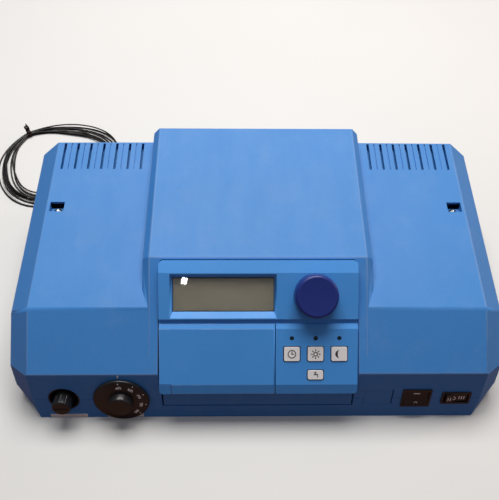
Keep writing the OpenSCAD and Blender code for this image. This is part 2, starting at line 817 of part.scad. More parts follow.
module blank_plate() {
    color("royalblue") on_fascia(blank_x, blank_down) {
        box_at(-(blank_slot - gap) / 2, 0, -wall, blank_w - gap - blank_slot, blank_l - gap, wall - 0.2);
        for (sx = [-1, 1]) box_at(sx * (blank_w / 2 - 2), 0, -wall - 3, 1.4, 8, 3 + eps);
    }
}

// ---- Thermostat and limiter ----
bush_r = 6.4;
shaft_r = 3;
back_gap = 0.3;
body_rise = 4;
stem_l = 12;
body_t = 20;
body_box = [33, 26];
module thermostat_body() {
    color("silver") on_fascia(dial_x, dial_down) difference() {
        union() {
            box_at(0, body_rise, -wall - back_gap - body_t, body_box[0], body_box[1], body_t);
            translate([0, 0, -wall - back_gap - eps]) cylinder(r = bush_r, h = wall + back_gap - 0.3);
        }
        translate([0, 0, -stem_l - 1]) cylinder(r = shaft_r + 0.06, h = stem_l + 2);
    }
}

dial_lift = 0.5;
grip_r = 11;
module thermostat_dial() {
    r = dial_d / 2;
    color("black") on_fascia(dial_x, dial_down) {
        rotate_extrude($fn = 96) polygon(concat(
            [[0, dial_lift], [r - 0.6, dial_lift], [r, dial_lift + 0.8]],
            [for (a = [0 : 22.5 : 90]) [r - 2 + 2 * cos(a), dial_lift + 1.6 + 1.4 * sin(a)]],
            [[grip_r + 3, dial_lift + 4.2], [0, dial_lift + 4.4]]));
        rotate_extrude($fn = 96) polygon([[0, 1], [grip_r + 1, 1], [grip_r + 0.8, dial_lift + 4.4],
            [grip_r, grip_h - 1.2], [grip_r - 1.2, grip_h], [0, grip_h]]);
        translate([0, 0, -stem_l]) cylinder(r = shaft_r, h = stem_l + 2);
    }
}

collar_deep = 12;
limiter_bush_r = 5;
module limiter_collar() {
    color("black") on_fascia(limiter_x, limiter_down) difference() {
        translate([0, 0, -collar_deep]) cylinder(d = limiter_d, h = collar_deep - 0.3);
        translate([0, 0, -collar_deep + 1.6]) cylinder(d = limiter_d - 2.4, h = collar_deep);
        translate([0, 0, -collar_deep - 1]) cylinder(r = limiter_bush_r + gap, h = 4);
    }
}
button_r = 2;
button_top = 2;
bush_top = 0;
module limiter_body() {
    color("silver") on_fascia(limiter_x, limiter_down) difference() {
        union() {
            box_at(0, body_rise + 1, -collar_deep - back_gap - body_t, body_box[0], body_box[1] - 4, body_t);
            translate([0, 0, -collar_deep - back_gap - 1]) cylinder(r = limiter_bush_r,
                h = collar_deep + back_gap + 1 + bush_top);
        }
        translate([0, 0, -collar_deep - 8]) cylinder(r = button_r + 0.1, h = collar_deep + 20);
    }
}
module limiter_button() {
    color("firebrick") on_fascia(limiter_x, limiter_down)
        translate([0, 0, -collar_deep - 4]) cylinder(r = button_r, h = collar_deep + 4 + button_top);
}
module limiter_cap() {
    low = -collar_deep + 1.6 + gap;
    color("black") on_fascia(limiter_x, limiter_down) difference() {
        rotate_extrude($fn = 64) polygon([[0, low], [cap_d / 2 + 0.6, low], [cap_d / 2, cap_h - 1.4],
            [cap_d / 2 - 1.4, cap_h], [0, cap_h]]);
        translate([0, 0, low - 1]) cylinder(r = limiter_bush_r + 0.1, h = -low + 1 + 4);
        for (a = [0 : 30 : 359]) rotate([0, 0, a]) translate([cap_d / 2 + 0.7, 0, 2])
            cylinder(d = 1.8, h = cap_h, $fn = 16);
        box_at(0, 0, cap_h - 1.2, cap_d - 5, 1.6, 3);
    }
}

// ---- Rocker switches ----
frame_window = 2;
rocker_tilt = 8;
rocker_axis_z = -2.2;
rocker_pin_r = 1;
body_deep = 20;
module switch_frame(w, h) {
    difference() {
        union() {
            rounded_plate(w, h, frame_proud, 1);
            box_at(0, 0, -body_deep, w - 2 * frame_lip - 2 * gap, h - 2 * frame_lip - 2 * gap,
                body_deep + eps);
        }
        box_at(0, 0, -9, w - 2 * frame_window, h - 2 * frame_window, 20);
    }
    for (sx = [-1, 1]) box_at(sx * 6, 0, -body_deep - 7, 0.8, 5, 7 + eps);
}
module rocker_shape(len, wide) {
    rise = len / 2 * tan(rocker_tilt);
    rotate([90, 0, 90]) translate([0, 0, -wide / 2]) linear_extrude(height = wide)
        polygon([[-len / 2, 0.2 - rocker_axis_z + rise], [0, 0.6 - rocker_axis_z], [len / 2,
            0.2 - rocker_axis_z + rise], [len / 2, -1.2 + rise], [3, -3.6], [-3, -3.6],
            [-len / 2, -1.2 + rise]]);
}
module rocker(len, wide, tilt) {
    translate([0, 0, rocker_axis_z]) rotate([tilt, 0, 0]) difference() {
        rocker_shape(len, wide);
        rotate([0, 90, 0]) translate([0, 0, -wide]) cylinder(r = rocker_pin_r + 0.05, h = 2 * wide);
    }
}
module power_switch_frame() {
    color("black") on_fascia(power_x, switch_down) switch_frame(switch_w, power_h);
}
module mode_switch_frame() {
    color("black") on_fascia(mode_x, switch_down) switch_frame(switch_w, mode_h);
}
rocker_gap = 0.35;
module power_rocker() {
    color("black") on_fascia(power_x, switch_down)
        rocker(power_h - 2 * frame_window - 1.4, switch_w - 2 * frame_window - 2 * rocker_gap, -rocker_tilt);
}
module mode_rocker() {
    color("black") on_fascia(mode_x, switch_down) rotate([0, 0, 90])
        rocker(switch_w - 2 * frame_window - 1.8, mode_h - 2 * frame_window - 2 * rocker_gap, rocker_tilt);
}
module rocker_pins() {
    color("silver") {
        on_fascia(power_x, switch_down) for (sx = [-1, 1])
            translate([sx * (switch_w / 2 - frame_window - 1.5), 0, rocker_axis_z]) rotate([0, 90, 0])
                cylinder(r = rocker_pin_r, h = 3, center = true);
        on_fascia(mode_x, switch_down) for (sy = [-1, 1])
            translate([0, sy * (mode_h / 2 - frame_window - 1.5), rocker_axis_z]) rotate([90, 0, 0])
                cylinder(r = rocker_pin_r, h = 3, center = true);
    }
}

// ---- Electronics ----
module main_board() {
    color("darkgreen") difference() {
        box_at(0, board_y, stand_h, board_w, board_l, board_t);
        for (sx = [-1, 1], sy = [-1, 1])
            translate([sx * board_hole_x, board_y + sy * board_hole_y, 0]) cylinder(d = 3.4, h = 30);
    }
}
core = [46, 24, 34];
coil_former = [30, 38, 30];
core_foot_t = 4;
transformer_x = 70;
module transformer() {
    color("dimgray") translate([transformer_x, board_y, stand_h + board_t]) {
        box_at(0, 0, 0, core[0], coil_former[1] + 2, core_foot_t);
        box_at(0, 0, core_foot_t - eps, core[0], core[1], core[2]);
        box_at(0, 0, core_foot_t + 2, coil_former[0], coil_former[1], coil_former[2]);
    }
}
block_count = 10;
block_pitch = 21;
module terminal_blocks() {
    color("seagreen") for (k = [0 : block_count - 1]) {
        x = (k - (block_count - 1) / 2) * block_pitch;
        difference() {
            box_at(x, board_y + board_l / 2 - 20, stand_h + board_t, block_pitch - 2, 12, 15);
            for (sx = [-1, 1])
                translate([x + sx * 4.6, board_y + board_l / 2 - 20, stand_h + board_t + 9])
                    cylinder(d = 3.6, h = 10, $fn = 16);
        }
    }
}
module board_screws() {
    color("silver") for (sx = [-1, 1], sy = [-1, 1])
        translate([sx * board_hole_x, board_y + sy * board_hole_y, stand_h + board_t]) {
            cylinder(d = 5.6, h = 2, $fn = 24);
            translate([0, 0, -6]) cylinder(d = 2.5, h = 6 + eps, $fn = 24);
        }
}

// ---- Sensor lead ----
clamp_x = 19;
clamp_y = rear_y - 16;
clamp_z = 8;
clamp_t = 4;
lead_z = 12;
module cable_clamp() {
    color("dimgray") difference() {
        translate([cable_x - clamp_x - 5, clamp_y - 4.5, clamp_z]) cube([2 * clamp_x + 10, 9, clamp_t]);
        for (sx = [-1, 1]) translate([cable_x + sx * clamp_x, clamp_y, 0]) cylinder(d = 3.4, h = 30);
    }
}
module clamp_screws() {
    color("silver") for (sx = [-1, 1]) translate([cable_x + sx * clamp_x, clamp_y, clamp_z + clamp_t]) {
        cylinder(d = 5.6, h = 2, $fn = 24);
        translate([0, 0, -7]) cylinder(d = 2.5, h = 7 + eps, $fn = 24);
    }
}
sleeve_r = 3.6;
module lead_sleeve() {
    color("black") difference() {
        union() {
            translate([cable_x - cable_w / 2 + gap, rear_y - wall - 0.6, cable_z + gap])
                cube([cable_w - 2 * gap, wall + 0.3, parting_z - cable_z - 2 * gap]);
            translate([cable_x, rear_y - 8, lead_z]) rotate([-90, 0, 0]) cylinder(r = sleeve_r, h = 7.6);
        }
        translate([cable_x, rear_y - 20, lead_z]) rotate([-90, 0, 0]) cylinder(d = cord_d + 0.1, h = 40);
    }
}

// Smooth curve through hand-picked points.
function curve_point(p, q, r, s, t) = 0.5 * ((2 * q) + (r - p) * t + (2 * p - 5 * q + 4 * r - s) * t * t
    + (3 * q - p - 3 * r + s) * t * t * t);
function smooth(points, steps) = let (n = len(points)) concat(
    [for (k = [0 : n - 2], j = [0 : steps - 1])
        curve_point(points[max(k - 1, 0)], points[k], points[k + 1], points[min(k + 2, n - 1)], j / steps)],
    [points[n - 1]]);
function unit(v) = v / norm(v);

// Round tube along a path.
tube_sides = 8;
module tube(path, d) {
    n = len(path);
    rings = [for (k = [0 : n - 1])
        let (t = unit(path[min(k + 1, n - 1)] - path[max(k - 1, 0)]),
            side = unit(cross(t, [0, 0, 1])), up = cross(side, t))
        [for (j = [0 : tube_sides - 1])
            path[k] + d / 2 * (cos(360 * j / tube_sides) * side + sin(360 * j / tube_sides) * up)]];
    loft(rings);
}

coil_x = cable_x - 98;
coil_y = rear_y + 71;
coil_r = 75;
coil_low = 1;
coil_pinch = 7;
tie_a = 133;
function coil_radius(a) = coil_r + 3.9 * cos(2 * a - 40) + 5 * cos(3 * a - 47);
function coil_squeeze(a) = coil_pinch * exp(-pow((a - tie_a) / 34, 2));
function coil_edge(inset, side) = [for (a = [0 : 5 : 355])
    [coil_x, coil_y] + (coil_radius(a) - inset - side * coil_squeeze(a)) * [cos(a), sin(a)]];
module sensor_coil() {
    color("black") translate([0, 0, coil_low]) linear_extrude(height = coil_h) difference() {
        polygon(coil_edge(0, 1));
        polygon(coil_edge(coil_w, -1));
    }
}

// Routes of the lead and its tail, from the spot where the lead leaves the rear wall.
lead_points = [[0, 0.5, 12], [0, 8, 11.5], [-1, 17.5, 7.5], [-5, 28.5, 2.8], [-12, 38.5, 1.3],
    [-19.7, 44, 1.2], [-26.3, 48.4, 1.2]];
tail_points = [[-14.6, 85.6, 1.6], [-7, 92.5, 1.2], [4, 95.5, 1.2], [18, 87.5, 1.2], [28, 75.5, 1.2],
    [36, 63.5, 1.2], [46, 55.5, 1.4], [58, 51.5, 2.4], [68, 51.5, 3.2]];
module at_exit() {
    translate([cable_x, rear_y, 0]) children();
}
module sensor_lead() {
    color("black") at_exit() tube(smooth(lead_points, 3), cord_d);
}
module sensor_tail() {
    color("black") at_exit() tube(smooth(tail_points, 3), cord_d);
}
probe_d = 6;
probe_l = 45;
module sensor_probe() {
    end = tail_points[len(tail_points) - 1];
    color("silver") at_exit() translate([end[0] + 0.1, end[1], end[2]]) rotate([0, 90, 0])
        rotate_extrude() polygon([[0, 0], [2.4, 0], [probe_d / 2, 1.5], [probe_d / 2, probe_l - 2],
            [probe_d / 2 - 2, probe_l], [0, probe_l]]);
}

tie_w = 3.6;
tie_t = 0.8;
tie_gap = 0.1;
lock_h = 4.5;
module coil_tie() {
    r = coil_radius(tie_a) - coil_w / 2;
    inner_w = coil_w - 2 * coil_pinch + 1;
    color("black") translate([coil_x, coil_y, 0]) rotate([0, 0, tie_a]) translate([r, 0, 0]) {
        difference() {
            box_at(0, 0, coil_low - tie_t - tie_gap, inner_w + 2 * tie_t, tie_w,
                coil_h + 2 * tie_t + 2 * tie_gap);
            box_at(0, 0, coil_low - tie_gap, inner_w, tie_w + 2, coil_h + 2 * tie_gap);
        }
        box_at(inner_w / 4, 0, coil_low + coil_h + tie_t + tie_gap - eps, 5, 5, lock_h);
    }
}

upper_cover();
base_tray();
back_wall();
cover_screws();
panel_cradle();
panel_housing();
display_window();
display_module();
key_board();
tact_switches();
led_lenses();
rotary_knob();
knob_encoder();
key_auto();
key_day();
key_night();
key_water();
flap();
flap_hinge_pins();
inner_key_1();
inner_key_2();
inner_key_3();
inner_key_4();
inner_key_5();
inner_key_6();
blank_plate();
thermostat_dial();
thermostat_body();
limiter_collar();
limiter_body();
limiter_button();
limiter_cap();
power_switch_frame();
power_rocker();
mode_switch_frame();
mode_rocker();
rocker_pins();
main_board();
transformer();
terminal_blocks();
board_screws();
cable_clamp();
clamp_screws();
lead_sleeve();
sensor_lead();
sensor_coil();
sensor_tail();
coil_tie();
sensor_probe();
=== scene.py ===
"""Looks of a boiler control unit: finishes, softened mouldings, marks, sensor lead and stage.

Lengths are in metres. X runs to the right, Y to the rear and Z up from the middle of the base.
"""

import math

import bmesh
import bpy
from bpy.props import FloatProperty, FloatVectorProperty, IntProperty, PointerProperty
from mathutils import Matrix, Vector
from mathutils.bvhtree import BVHTree
from mathutils.kdtree import KDTree
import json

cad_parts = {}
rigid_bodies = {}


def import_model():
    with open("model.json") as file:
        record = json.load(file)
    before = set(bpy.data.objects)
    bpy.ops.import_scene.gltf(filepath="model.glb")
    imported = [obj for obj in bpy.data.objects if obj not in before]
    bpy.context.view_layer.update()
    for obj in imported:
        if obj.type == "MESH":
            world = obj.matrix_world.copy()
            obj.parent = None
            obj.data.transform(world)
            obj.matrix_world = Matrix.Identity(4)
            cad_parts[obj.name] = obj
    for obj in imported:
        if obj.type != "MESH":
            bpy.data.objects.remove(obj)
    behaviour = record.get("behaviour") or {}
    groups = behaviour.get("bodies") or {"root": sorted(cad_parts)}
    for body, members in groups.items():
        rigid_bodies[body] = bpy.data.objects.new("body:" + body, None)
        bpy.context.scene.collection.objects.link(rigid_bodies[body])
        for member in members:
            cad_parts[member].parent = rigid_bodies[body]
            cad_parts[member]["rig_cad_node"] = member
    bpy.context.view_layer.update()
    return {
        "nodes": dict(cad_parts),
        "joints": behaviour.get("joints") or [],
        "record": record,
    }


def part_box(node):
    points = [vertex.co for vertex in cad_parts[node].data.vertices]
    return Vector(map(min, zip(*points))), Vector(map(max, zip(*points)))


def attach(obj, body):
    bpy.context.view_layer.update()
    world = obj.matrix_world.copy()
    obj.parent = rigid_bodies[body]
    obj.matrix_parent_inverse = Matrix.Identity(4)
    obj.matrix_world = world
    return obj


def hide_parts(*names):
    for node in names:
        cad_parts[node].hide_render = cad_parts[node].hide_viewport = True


bl_info = {
    "name": "Boiler control unit",
    "version": (1, 0, 0),
    "blender": (4, 5, 0),
    "location": "View3D > Sidebar > Control unit",
    "description": "Dresses the control unit's housing, controls and sensor lead",
    "category": "Object",
}

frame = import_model()

MM = 0.001
NODES = frame["nodes"]
BODY_OF = {node: body for body, nodes in frame["record"]["behaviour"]["bodies"].items() for node in nodes}
JOINTS = {joint["name"]: joint for joint in frame["joints"]}
RIGHT = Vector((1, 0, 0))

# The sloping panel and the front face, each with its own directions, from the joints that stand on them.
PANEL_OUT = Vector(JOINTS["knob_turn"]["axis"]).normalized()
PANEL_UP = PANEL_OUT.cross(RIGHT).normalized()
KNOB_AT = Vector(JOINTS["knob_turn"]["pos_m"])
FACE_OUT = Vector(JOINTS["dial_turn"]["axis"]).normalized()
FACE_UP = FACE_OUT.cross(RIGHT).normalized()
DIAL_AT = Vector(JOINTS["dial_turn"]["pos_m"])


# ---- user settings


def colour_setting(name, description, default):
    """A colour that the user can set."""
    return FloatVectorProperty(
        name=name, description=description, subtype="COLOR", size=3, min=0, max=1, default=default)


def length_setting(name, description, default, low, high):
    """A length that the user can set."""
    return FloatProperty(
        name=name, description=description, subtype="DISTANCE", unit="LENGTH", default=default, min=low,
        max=high)


class FinishSettings(bpy.types.PropertyGroup):
    """Colours and surface of the plastics."""

    cover: colour_setting("Cover", "Blue of the housing", (0.052, 0.243, 0.62))
    panel: colour_setting("Panel", "Blue of the operating panel and flap", (0.066, 0.315, 0.79))
    knob: colour_setting("Knob", "Navy of the rotary knob", (0.013, 0.030, 0.21))
    keys: colour_setting("Keys", "Ivory of the mode keys", (0.97, 0.93, 0.92))
    display: colour_setting("Display", "Olive of the unlit display", (0.62, 0.56, 0.42))
    grain: length_setting("Grain size", "Pitch of the moulded grain", 0.0009, 0.0002, 0.003)


class RoundingSettings(bpy.types.PropertyGroup):
    """Radii that soften the edges of the mouldings."""

    cover: length_setting("Cover edges", "Radius on the cover's long edges", 0.0011, 0.0003, 0.002)
    panel: length_setting("Panel edges", "Radius on the panel's edges", 0.0007, 0.0002, 0.002)
    small: length_setting("Small edges", "Radius on the smaller mouldings", 0.00035, 0.0001, 0.001)


class LeadSettings(bpy.types.PropertyGroup):
    """The sensor lead and its coil."""

    diameter: length_setting("Diameter", "Diameter of the lead", 0.0018, 0.0016, 0.0024)
    turns: IntProperty(name="Turns", description="Turns in the coil", default=9, min=4, max=9)


class StageSettings(bpy.types.PropertyGroup):
    """Floor and lamps."""

    floor: colour_setting("Floor", "Colour of the floor", (0.80, 0.79, 0.77))
    bounce: colour_setting(
        "Bounce", "Colour that the floor throws back onto the unit", (0.27, 0.12, 0.075))
    key_power: FloatProperty(
        name="Key lamp", description="Power of the large lamp above and behind", default=31.0,
        min=0, max=80)
    sky: FloatProperty(
        name="Sky", description="Strength of the even light all round", default=0.21, min=0, max=2)


SETTINGS = {
    "control_finish": FinishSettings,
    "control_rounding": RoundingSettings,
    "control_lead": LeadSettings,
    "control_stage": StageSettings,
}


# ---- finishes

# Marks the rounded edge strips whose colour is made paler: partly edge wear, partly a painted highlight.
EDGE_WEAR_AND_HIGHLIGHT = "edge_wear"
DUST = (0.62, 0.62, 0.60)


class Nodes:
    """A new material and short ways to add and join its nodes."""

    def __init__(self, name):
        self.material = bpy.data.materials.new(name)
        self.material.use_nodes = True
        self.tree = self.material.node_tree
        self.shader = self.tree.nodes["Principled BSDF"]
        self.place = self.add("ShaderNodeTexCoord").outputs["Object"]

    def add(self, kind, **values):
        """A node of that kind with these settings or input values."""
        node = self.tree.nodes.new(kind)
        for key, value in values.items():
            label = key.replace("_", " ").title()
            if label in node.inputs:
                node.inputs[label].default_value = value
            else:
                setattr(node, key, value)
        return node

    def join(self, output, target):
        """Links an output to an input."""
        self.tree.links.new(output, target)

    def noise(self, pitch, detail=2.0, roughness=0.5, place=None):
        """Noise whose features are about pitch metres across."""
        node = self.add("ShaderNodeTexNoise", scale=1 / pitch, detail=detail, roughness=roughness)
        self.join(place or self.place, node.inputs["Vector"])
        return node.outputs["Fac"]

    def stretched(self, factors):
        """Object coordinates scaled by these factors along X, Y and Z."""
        node = self.add("ShaderNodeMapping")
        node.inputs["Scale"].default_value = factors
        self.join(self.place, node.inputs["Vector"])
        return node.outputs["Vector"]

    def ramp(self, factor, first, second, start=0.3, end=0.7):
        """A colour that runs from first to second as factor goes from start to end."""
        node = self.add("ShaderNodeValToRGB")
        for element, position, colour in zip(node.color_ramp.elements, (start, end), (first, second)):
            element.position = position
            element.color = (*colour, 1)
        self.join(factor, node.inputs["Fac"])
        return node.outputs["Color"]

    def span(self, factor, low, high, start=0.0, end=1.0):
        """A value from low to high as factor goes from start to end."""
        node = self.add("ShaderNodeMapRange", clamp=True)
        node.inputs["From Min"].default_value = start
        node.inputs["From Max"].default_value = end
        node.inputs["To Min"].default_value = low
        node.inputs["To Max"].default_value = high
        self.join(factor, node.inputs["Value"])
        return node.outputs["Result"]

    def mixed(self, factor, first, second):
        """A mix of two colours."""
        node = self.add("ShaderNodeMix", data_type="RGBA")
        self.join(factor, node.inputs["Factor"])
        for colour, target in ((first, node.inputs["A"]), (second, node.inputs["B"])):
            if isinstance(colour, tuple):
                target.default_value = (*colour, 1)
            else:
                self.join(colour, target)
        return node.outputs["Result"]

    def product(self, first, second):
        """Two values multiplied."""
        node = self.add("ShaderNodeMath", operation="MULTIPLY")
        self.join(first, node.inputs[0])
        self.join(second, node.inputs[1])
        return node.outputs["Value"]

    def rubbed_and_highlit(self, base, colour, amount):
        """Paler colour in patches along the rounded edges: partly edge wear, partly a painted highlight.
        """
        edge = self.add("ShaderNodeAttribute", attribute_name=EDGE_WEAR_AND_HIGHLIGHT).outputs["Fac"]
        patches = self.span(self.noise(0.012, detail=5.0, roughness=0.65), 0.15, amount, 0.35, 0.65)
        pale = tuple(part + (0.9 - part) * 0.45 for part in colour)
        return self.mixed(self.product(edge, patches), base, pale)

    def bump(self, height, distance):
        """Raises the surface by a height from 0 to 1 times distance."""
        node = self.add("ShaderNodeBump", distance=distance, strength=1.0)
        self.join(height, node.inputs["Height"])
        self.join(node.outputs["Normal"], self.shader.inputs["Normal"])

    def coat(self, tone, roughness):
        """Joins a colour and a roughness to the shader, and gives the material."""
        self.join(tone, self.shader.inputs["Base Color"])
        self.join(roughness, self.shader.inputs["Roughness"])
        return self.material


def cosd(angle):
    """Cosine of an angle in degrees."""
    return math.cos(math.radians(angle))


def sind(angle):
    """Sine of an angle in degrees."""
    return math.sin(math.radians(angle))


def shade(colour, factor):
    """A colour made lighter or darker."""
    return tuple(min(1.0, part * factor) for part in colour)


def settings(name):
    """One of the scene's groups of settings."""
    return getattr(bpy.context.scene, "control_" + name)


def moulded(name, colour, grain, depth, roughness, sheen=0.5, dust=0.0, wear=0.0):
    """Moulded plastic: fine grain, slight unevenness of colour, scuffs in the gloss, and rounded edges
    made paler, partly as wear and partly as a painted highlight.
    """
    nodes = Nodes(name)
    cloud = nodes.noise(0.09, detail=4.0)
    base = nodes.ramp(cloud, shade(colour, 0.97), shade(colour, 1.03))
    speck = nodes.noise(grain * 0.8, detail=3.0)
    base = nodes.mixed(nodes.span(speck, 0.0, 0.30, 0.45, 0.75), base, shade(colour, 1.35))
    # Rounded edges made paler: partly wear, partly a painted highlight along the edges.
    if wear:
        base = nodes.rubbed_and_highlit(base, colour, wear)
    if dust:
        film = nodes.noise(0.03, detail=6.0, roughness=0.65)
        base = nodes.mixed(nodes.span(film, 0.0, dust, 0.5, 0.8), base, DUST)
    scuff = nodes.noise(0.02, detail=5.0, roughness=0.6, place=nodes.stretched((1.0, 0.25, 1.0)))
    nodes.shader.inputs["Specular IOR Level"].default_value = sheen
    nodes.bump(nodes.noise(grain, detail=2.0), depth)
    return nodes.coat(base, nodes.span(scuff, roughness - 0.03, roughness + 0.04, 0.3, 0.7))


def cover_blue():
    """Textured blue plastic of cover and base."""
    look = settings("finish")
    # The last amount makes the rounded edges paler: partly wear, partly a painted highlight.
    return moulded(
        "cover_blue", tuple(look.cover), look.grain, 0.00013, 0.54, sheen=0.4, dust=0.05, wear=0.2)


def panel_blue():
    """Slightly deeper and smoother blue of the operating panel."""
    look = settings("finish")
    # The last amount makes the rounded edges paler: partly wear, partly a painted highlight.
    return moulded(
        "panel_blue", tuple(look.panel), look.grain * 0.8, 0.00009, 0.48, sheen=0.45, dust=0.03, wear=0.6)


def label_pale():
    """Bare pale label strip, slightly brushed."""
    nodes = Nodes("label_pale")
    streak = nodes.noise(0.0006, detail=3.0, place=nodes.stretched((0.05, 1.0, 1.0)))
    tone = nodes.ramp(streak, (0.80, 0.77, 0.72), (0.92, 0.89, 0.84))
    nodes.bump(streak, 0.00001)
    return nodes.coat(tone, nodes.span(streak, 0.32, 0.5))


def lead_black():
    """Thin black cable sheath with faint rub marks along it."""
    nodes = Nodes("lead_black")
    rub = nodes.noise(0.004, detail=4.0)
    tone = nodes.ramp(rub, (0.010, 0.009, 0.009), (0.032, 0.029, 0.028), 0.35, 0.75)
    nodes.bump(nodes.noise(0.0009), 0.00004)
    return nodes.coat(tone, nodes.span(rub, 0.26, 0.46))


def zinc():
    """Zinc-plated steel: fine streaks and cloudy gloss."""
    nodes = Nodes("zinc")
    streak = nodes.noise(0.0009, detail=4.0, place=nodes.stretched((1.0, 1.0, 0.1)))
    tone = nodes.ramp(streak, (0.46, 0.47, 0.48), (0.66, 0.66, 0.65))
    nodes.shader.inputs["Metallic"].default_value = 1.0
    nodes.bump(streak, 0.00002)
    return nodes.coat(tone, nodes.span(nodes.noise(0.004, detail=3.0), 0.2, 0.36))


def core_steel():
    """Varnished laminations of the transformer."""
    nodes = Nodes("core_steel")
    sheet = nodes.noise(0.0005, place=nodes.stretched((0.02, 1.0, 0.02)))
    tone = nodes.ramp(sheet, (0.05, 0.05, 0.055), (0.13, 0.12, 0.12), 0.4, 0.6)
    nodes.shader.inputs["Metallic"].default_value = 0.6
    nodes.bump(sheet, 0.0001)
    return nodes.coat(tone, nodes.span(sheet, 0.35, 0.55))


def board_green():
    """Solder mask with copper tracks showing through it."""
    nodes = Nodes("board_green")
    track = nodes.add("ShaderNodeTexBrick", scale=60.0, color1=(0.012, 0.11, 0.035, 1),
        color2=(0.012, 0.13, 0.04, 1), mortar=(0.03, 0.21, 0.07, 1))
    nodes.join(nodes.place, track.inputs["Vector"])
    nodes.bump(track.outputs["Fac"], 0.00003)
    return nodes.coat(track.outputs["Color"], nodes.span(nodes.noise(0.01), 0.25, 0.4))


def lens_dark():
    """Dark green-black lamp lens."""
    nodes = Nodes("lens_dark")
    depth = nodes.noise(0.002, detail=2.0)
    tone = nodes.ramp(depth, (0.004, 0.012, 0.012), (0.010, 0.032, 0.030))
    return nodes.coat(tone, nodes.span(depth, 0.10, 0.2))


def display_olive():
    """Unlit liquid-crystal glass: olive, with a faint grid of dots."""
    colour = tuple(settings("finish").display)
    nodes = Nodes("display_olive")
    cells = nodes.add("ShaderNodeTexBrick", offset=0.0, scale=1.0, brick_width=0.0011,
        row_height=0.0011, mortar_size=0.00012)
    nodes.join(nodes.place, cells.inputs["Vector"])
    haze = nodes.noise(0.05, detail=3.0)
    glass = nodes.ramp(haze, shade(colour, 0.94), shade(colour, 1.06))
    lines = nodes.span(cells.outputs["Fac"], 0.0, 0.12)
    tone = nodes.mixed(lines, glass, shade(colour, 0.7))
    return nodes.coat(tone, nodes.span(nodes.noise(0.02), 0.30, 0.42))


def window_clear():
    """Clear acrylic with a few fingerprints."""
    nodes = Nodes("window_clear")
    print_marks = nodes.noise(0.012, detail=5.0, roughness=0.7)
    tone = nodes.ramp(print_marks, (0.93, 0.94, 0.92), (0.97, 0.97, 0.96))
    nodes.shader.inputs["Transmission Weight"].default_value = 1.0
    nodes.shader.inputs["IOR"].default_value = 1.49
    return nodes.coat(tone, nodes.span(print_marks, 0.01, 0.06, 0.5, 0.8))


FINISH_MAKERS = {maker.__name__: maker for maker in (
    cover_blue, panel_blue, label_pale, lead_black, zinc, core_steel, board_green, lens_dark,
    display_olive, window_clear)}

# Plain plastics: colour or the setting that holds it, pitch and depth of the grain, roughness, sheen
# and dust.
PLASTICS = {
    "knob_navy": ("knob", 0.0006, 0.00003, 0.36),
    "key_ivory": ("keys", 0.0005, 0.00002, 0.42, 0.5, 0.05),
    "key_grey": ((0.42, 0.42, 0.44), 0.0005, 0.00002, 0.45),
    "switch_black": ((0.012, 0.012, 0.013), 0.0007, 0.00002, 0.30, 0.5, 0.02),
    "tie_black": ((0.022, 0.021, 0.021), 0.0008, 0.00002, 0.38),
    "terminal_green": ((0.05, 0.22, 0.08), 0.0007, 0.00002, 0.45),
    "button_red": ((0.45, 0.03, 0.02), 0.0006, 0.00002, 0.4),
    "mark_white": ((0.90, 0.90, 0.88), 0.0004, 0.00001, 0.5),
    "mark_dark": ((0.035, 0.038, 0.045), 0.0004, 0.00001, 0.5),
}

finishes = {}


def plastic(name):
    """One of the plain plastics."""
    colour, *rest = PLASTICS[name]
    if isinstance(colour, str):
        colour = tuple(getattr(settings("finish"), colour))
    return moulded(name, colour, *rest)


def finish(name):
    """A finish by name, made once."""
    if name not in finishes:
        finishes[name] = plastic(name) if name in PLASTICS else FINISH_MAKERS[name]()
    return finishes[name]


# ---- modelling aids


def made(name=None):
    """The object that the last operator made, with this name."""
    piece = bpy.context.active_object
    piece.name = name or piece.name
    return piece


def alone(piece):
    """Selects one object and makes it active."""
    bpy.ops.object.select_all(action="DESELECT")
    piece.select_set(True)
    bpy.context.view_layer.objects.active = piece


def edit(piece, action="DESELECT"):
    """Enters edit mode on one object with nothing or all of it selected, and gives its mesh."""
    alone(piece)
    bpy.ops.object.mode_set(mode="EDIT")
    bpy.ops.mesh.select_all(action=action)
    return bmesh.from_edit_mesh(piece.data)


def turn_faces_out():
    """Turns all faces outwards and leaves edit mode."""
    bpy.ops.mesh.select_all(action="SELECT")
    bpy.ops.mesh.normals_make_consistent(inside=False)
    bpy.ops.object.mode_set(mode="OBJECT")


def settle(piece, place=None):
    """Moves a piece to its place and puts that into its mesh, so that the object sits at the origin."""
    if place is not None:
        piece.matrix_world = place @ piece.matrix_world
    alone(piece)
    bpy.ops.object.transform_apply(location=True, rotation=True, scale=True)
    return piece


def smooth(piece, angle=30):
    """Shades curved faces smoothly and keeps the flats flat."""
    alone(piece)
    bpy.ops.object.shade_smooth_by_angle(angle=math.radians(angle))
    weigh = piece.modifiers.new("weigh", "WEIGHTED_NORMAL")
    weigh.keep_sharp = True
    bpy.ops.object.modifier_apply(modifier=weigh.name)
    return piece


def paint(piece, look):
    """Gives a piece its finish."""
    piece.data.materials.clear()
    piece.data.materials.append(finish(look))


def dress(piece, look, body="housing"):
    """Gives a new piece its finish and the body that it rides on."""
    paint(piece, look)
    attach(piece, body)
    return piece


def join(pieces, name):
    """Joins meshes into one object."""
    bpy.ops.object.select_all(action="DESELECT")
    for piece in pieces:
        piece.select_set(True)
    bpy.context.view_layer.objects.active = pieces[0]
    if len(pieces) > 1:
        bpy.ops.object.join()
    pieces[0].name = name
    return pieces[0]


def placed(at, right, up):
    """Matrix that puts X along right, Y along up and Z along their normal, at a point."""
    out = right.cross(up)
    matrix = Matrix((right, up, out)).transposed().to_4x4()
    matrix.translation = at
    return matrix


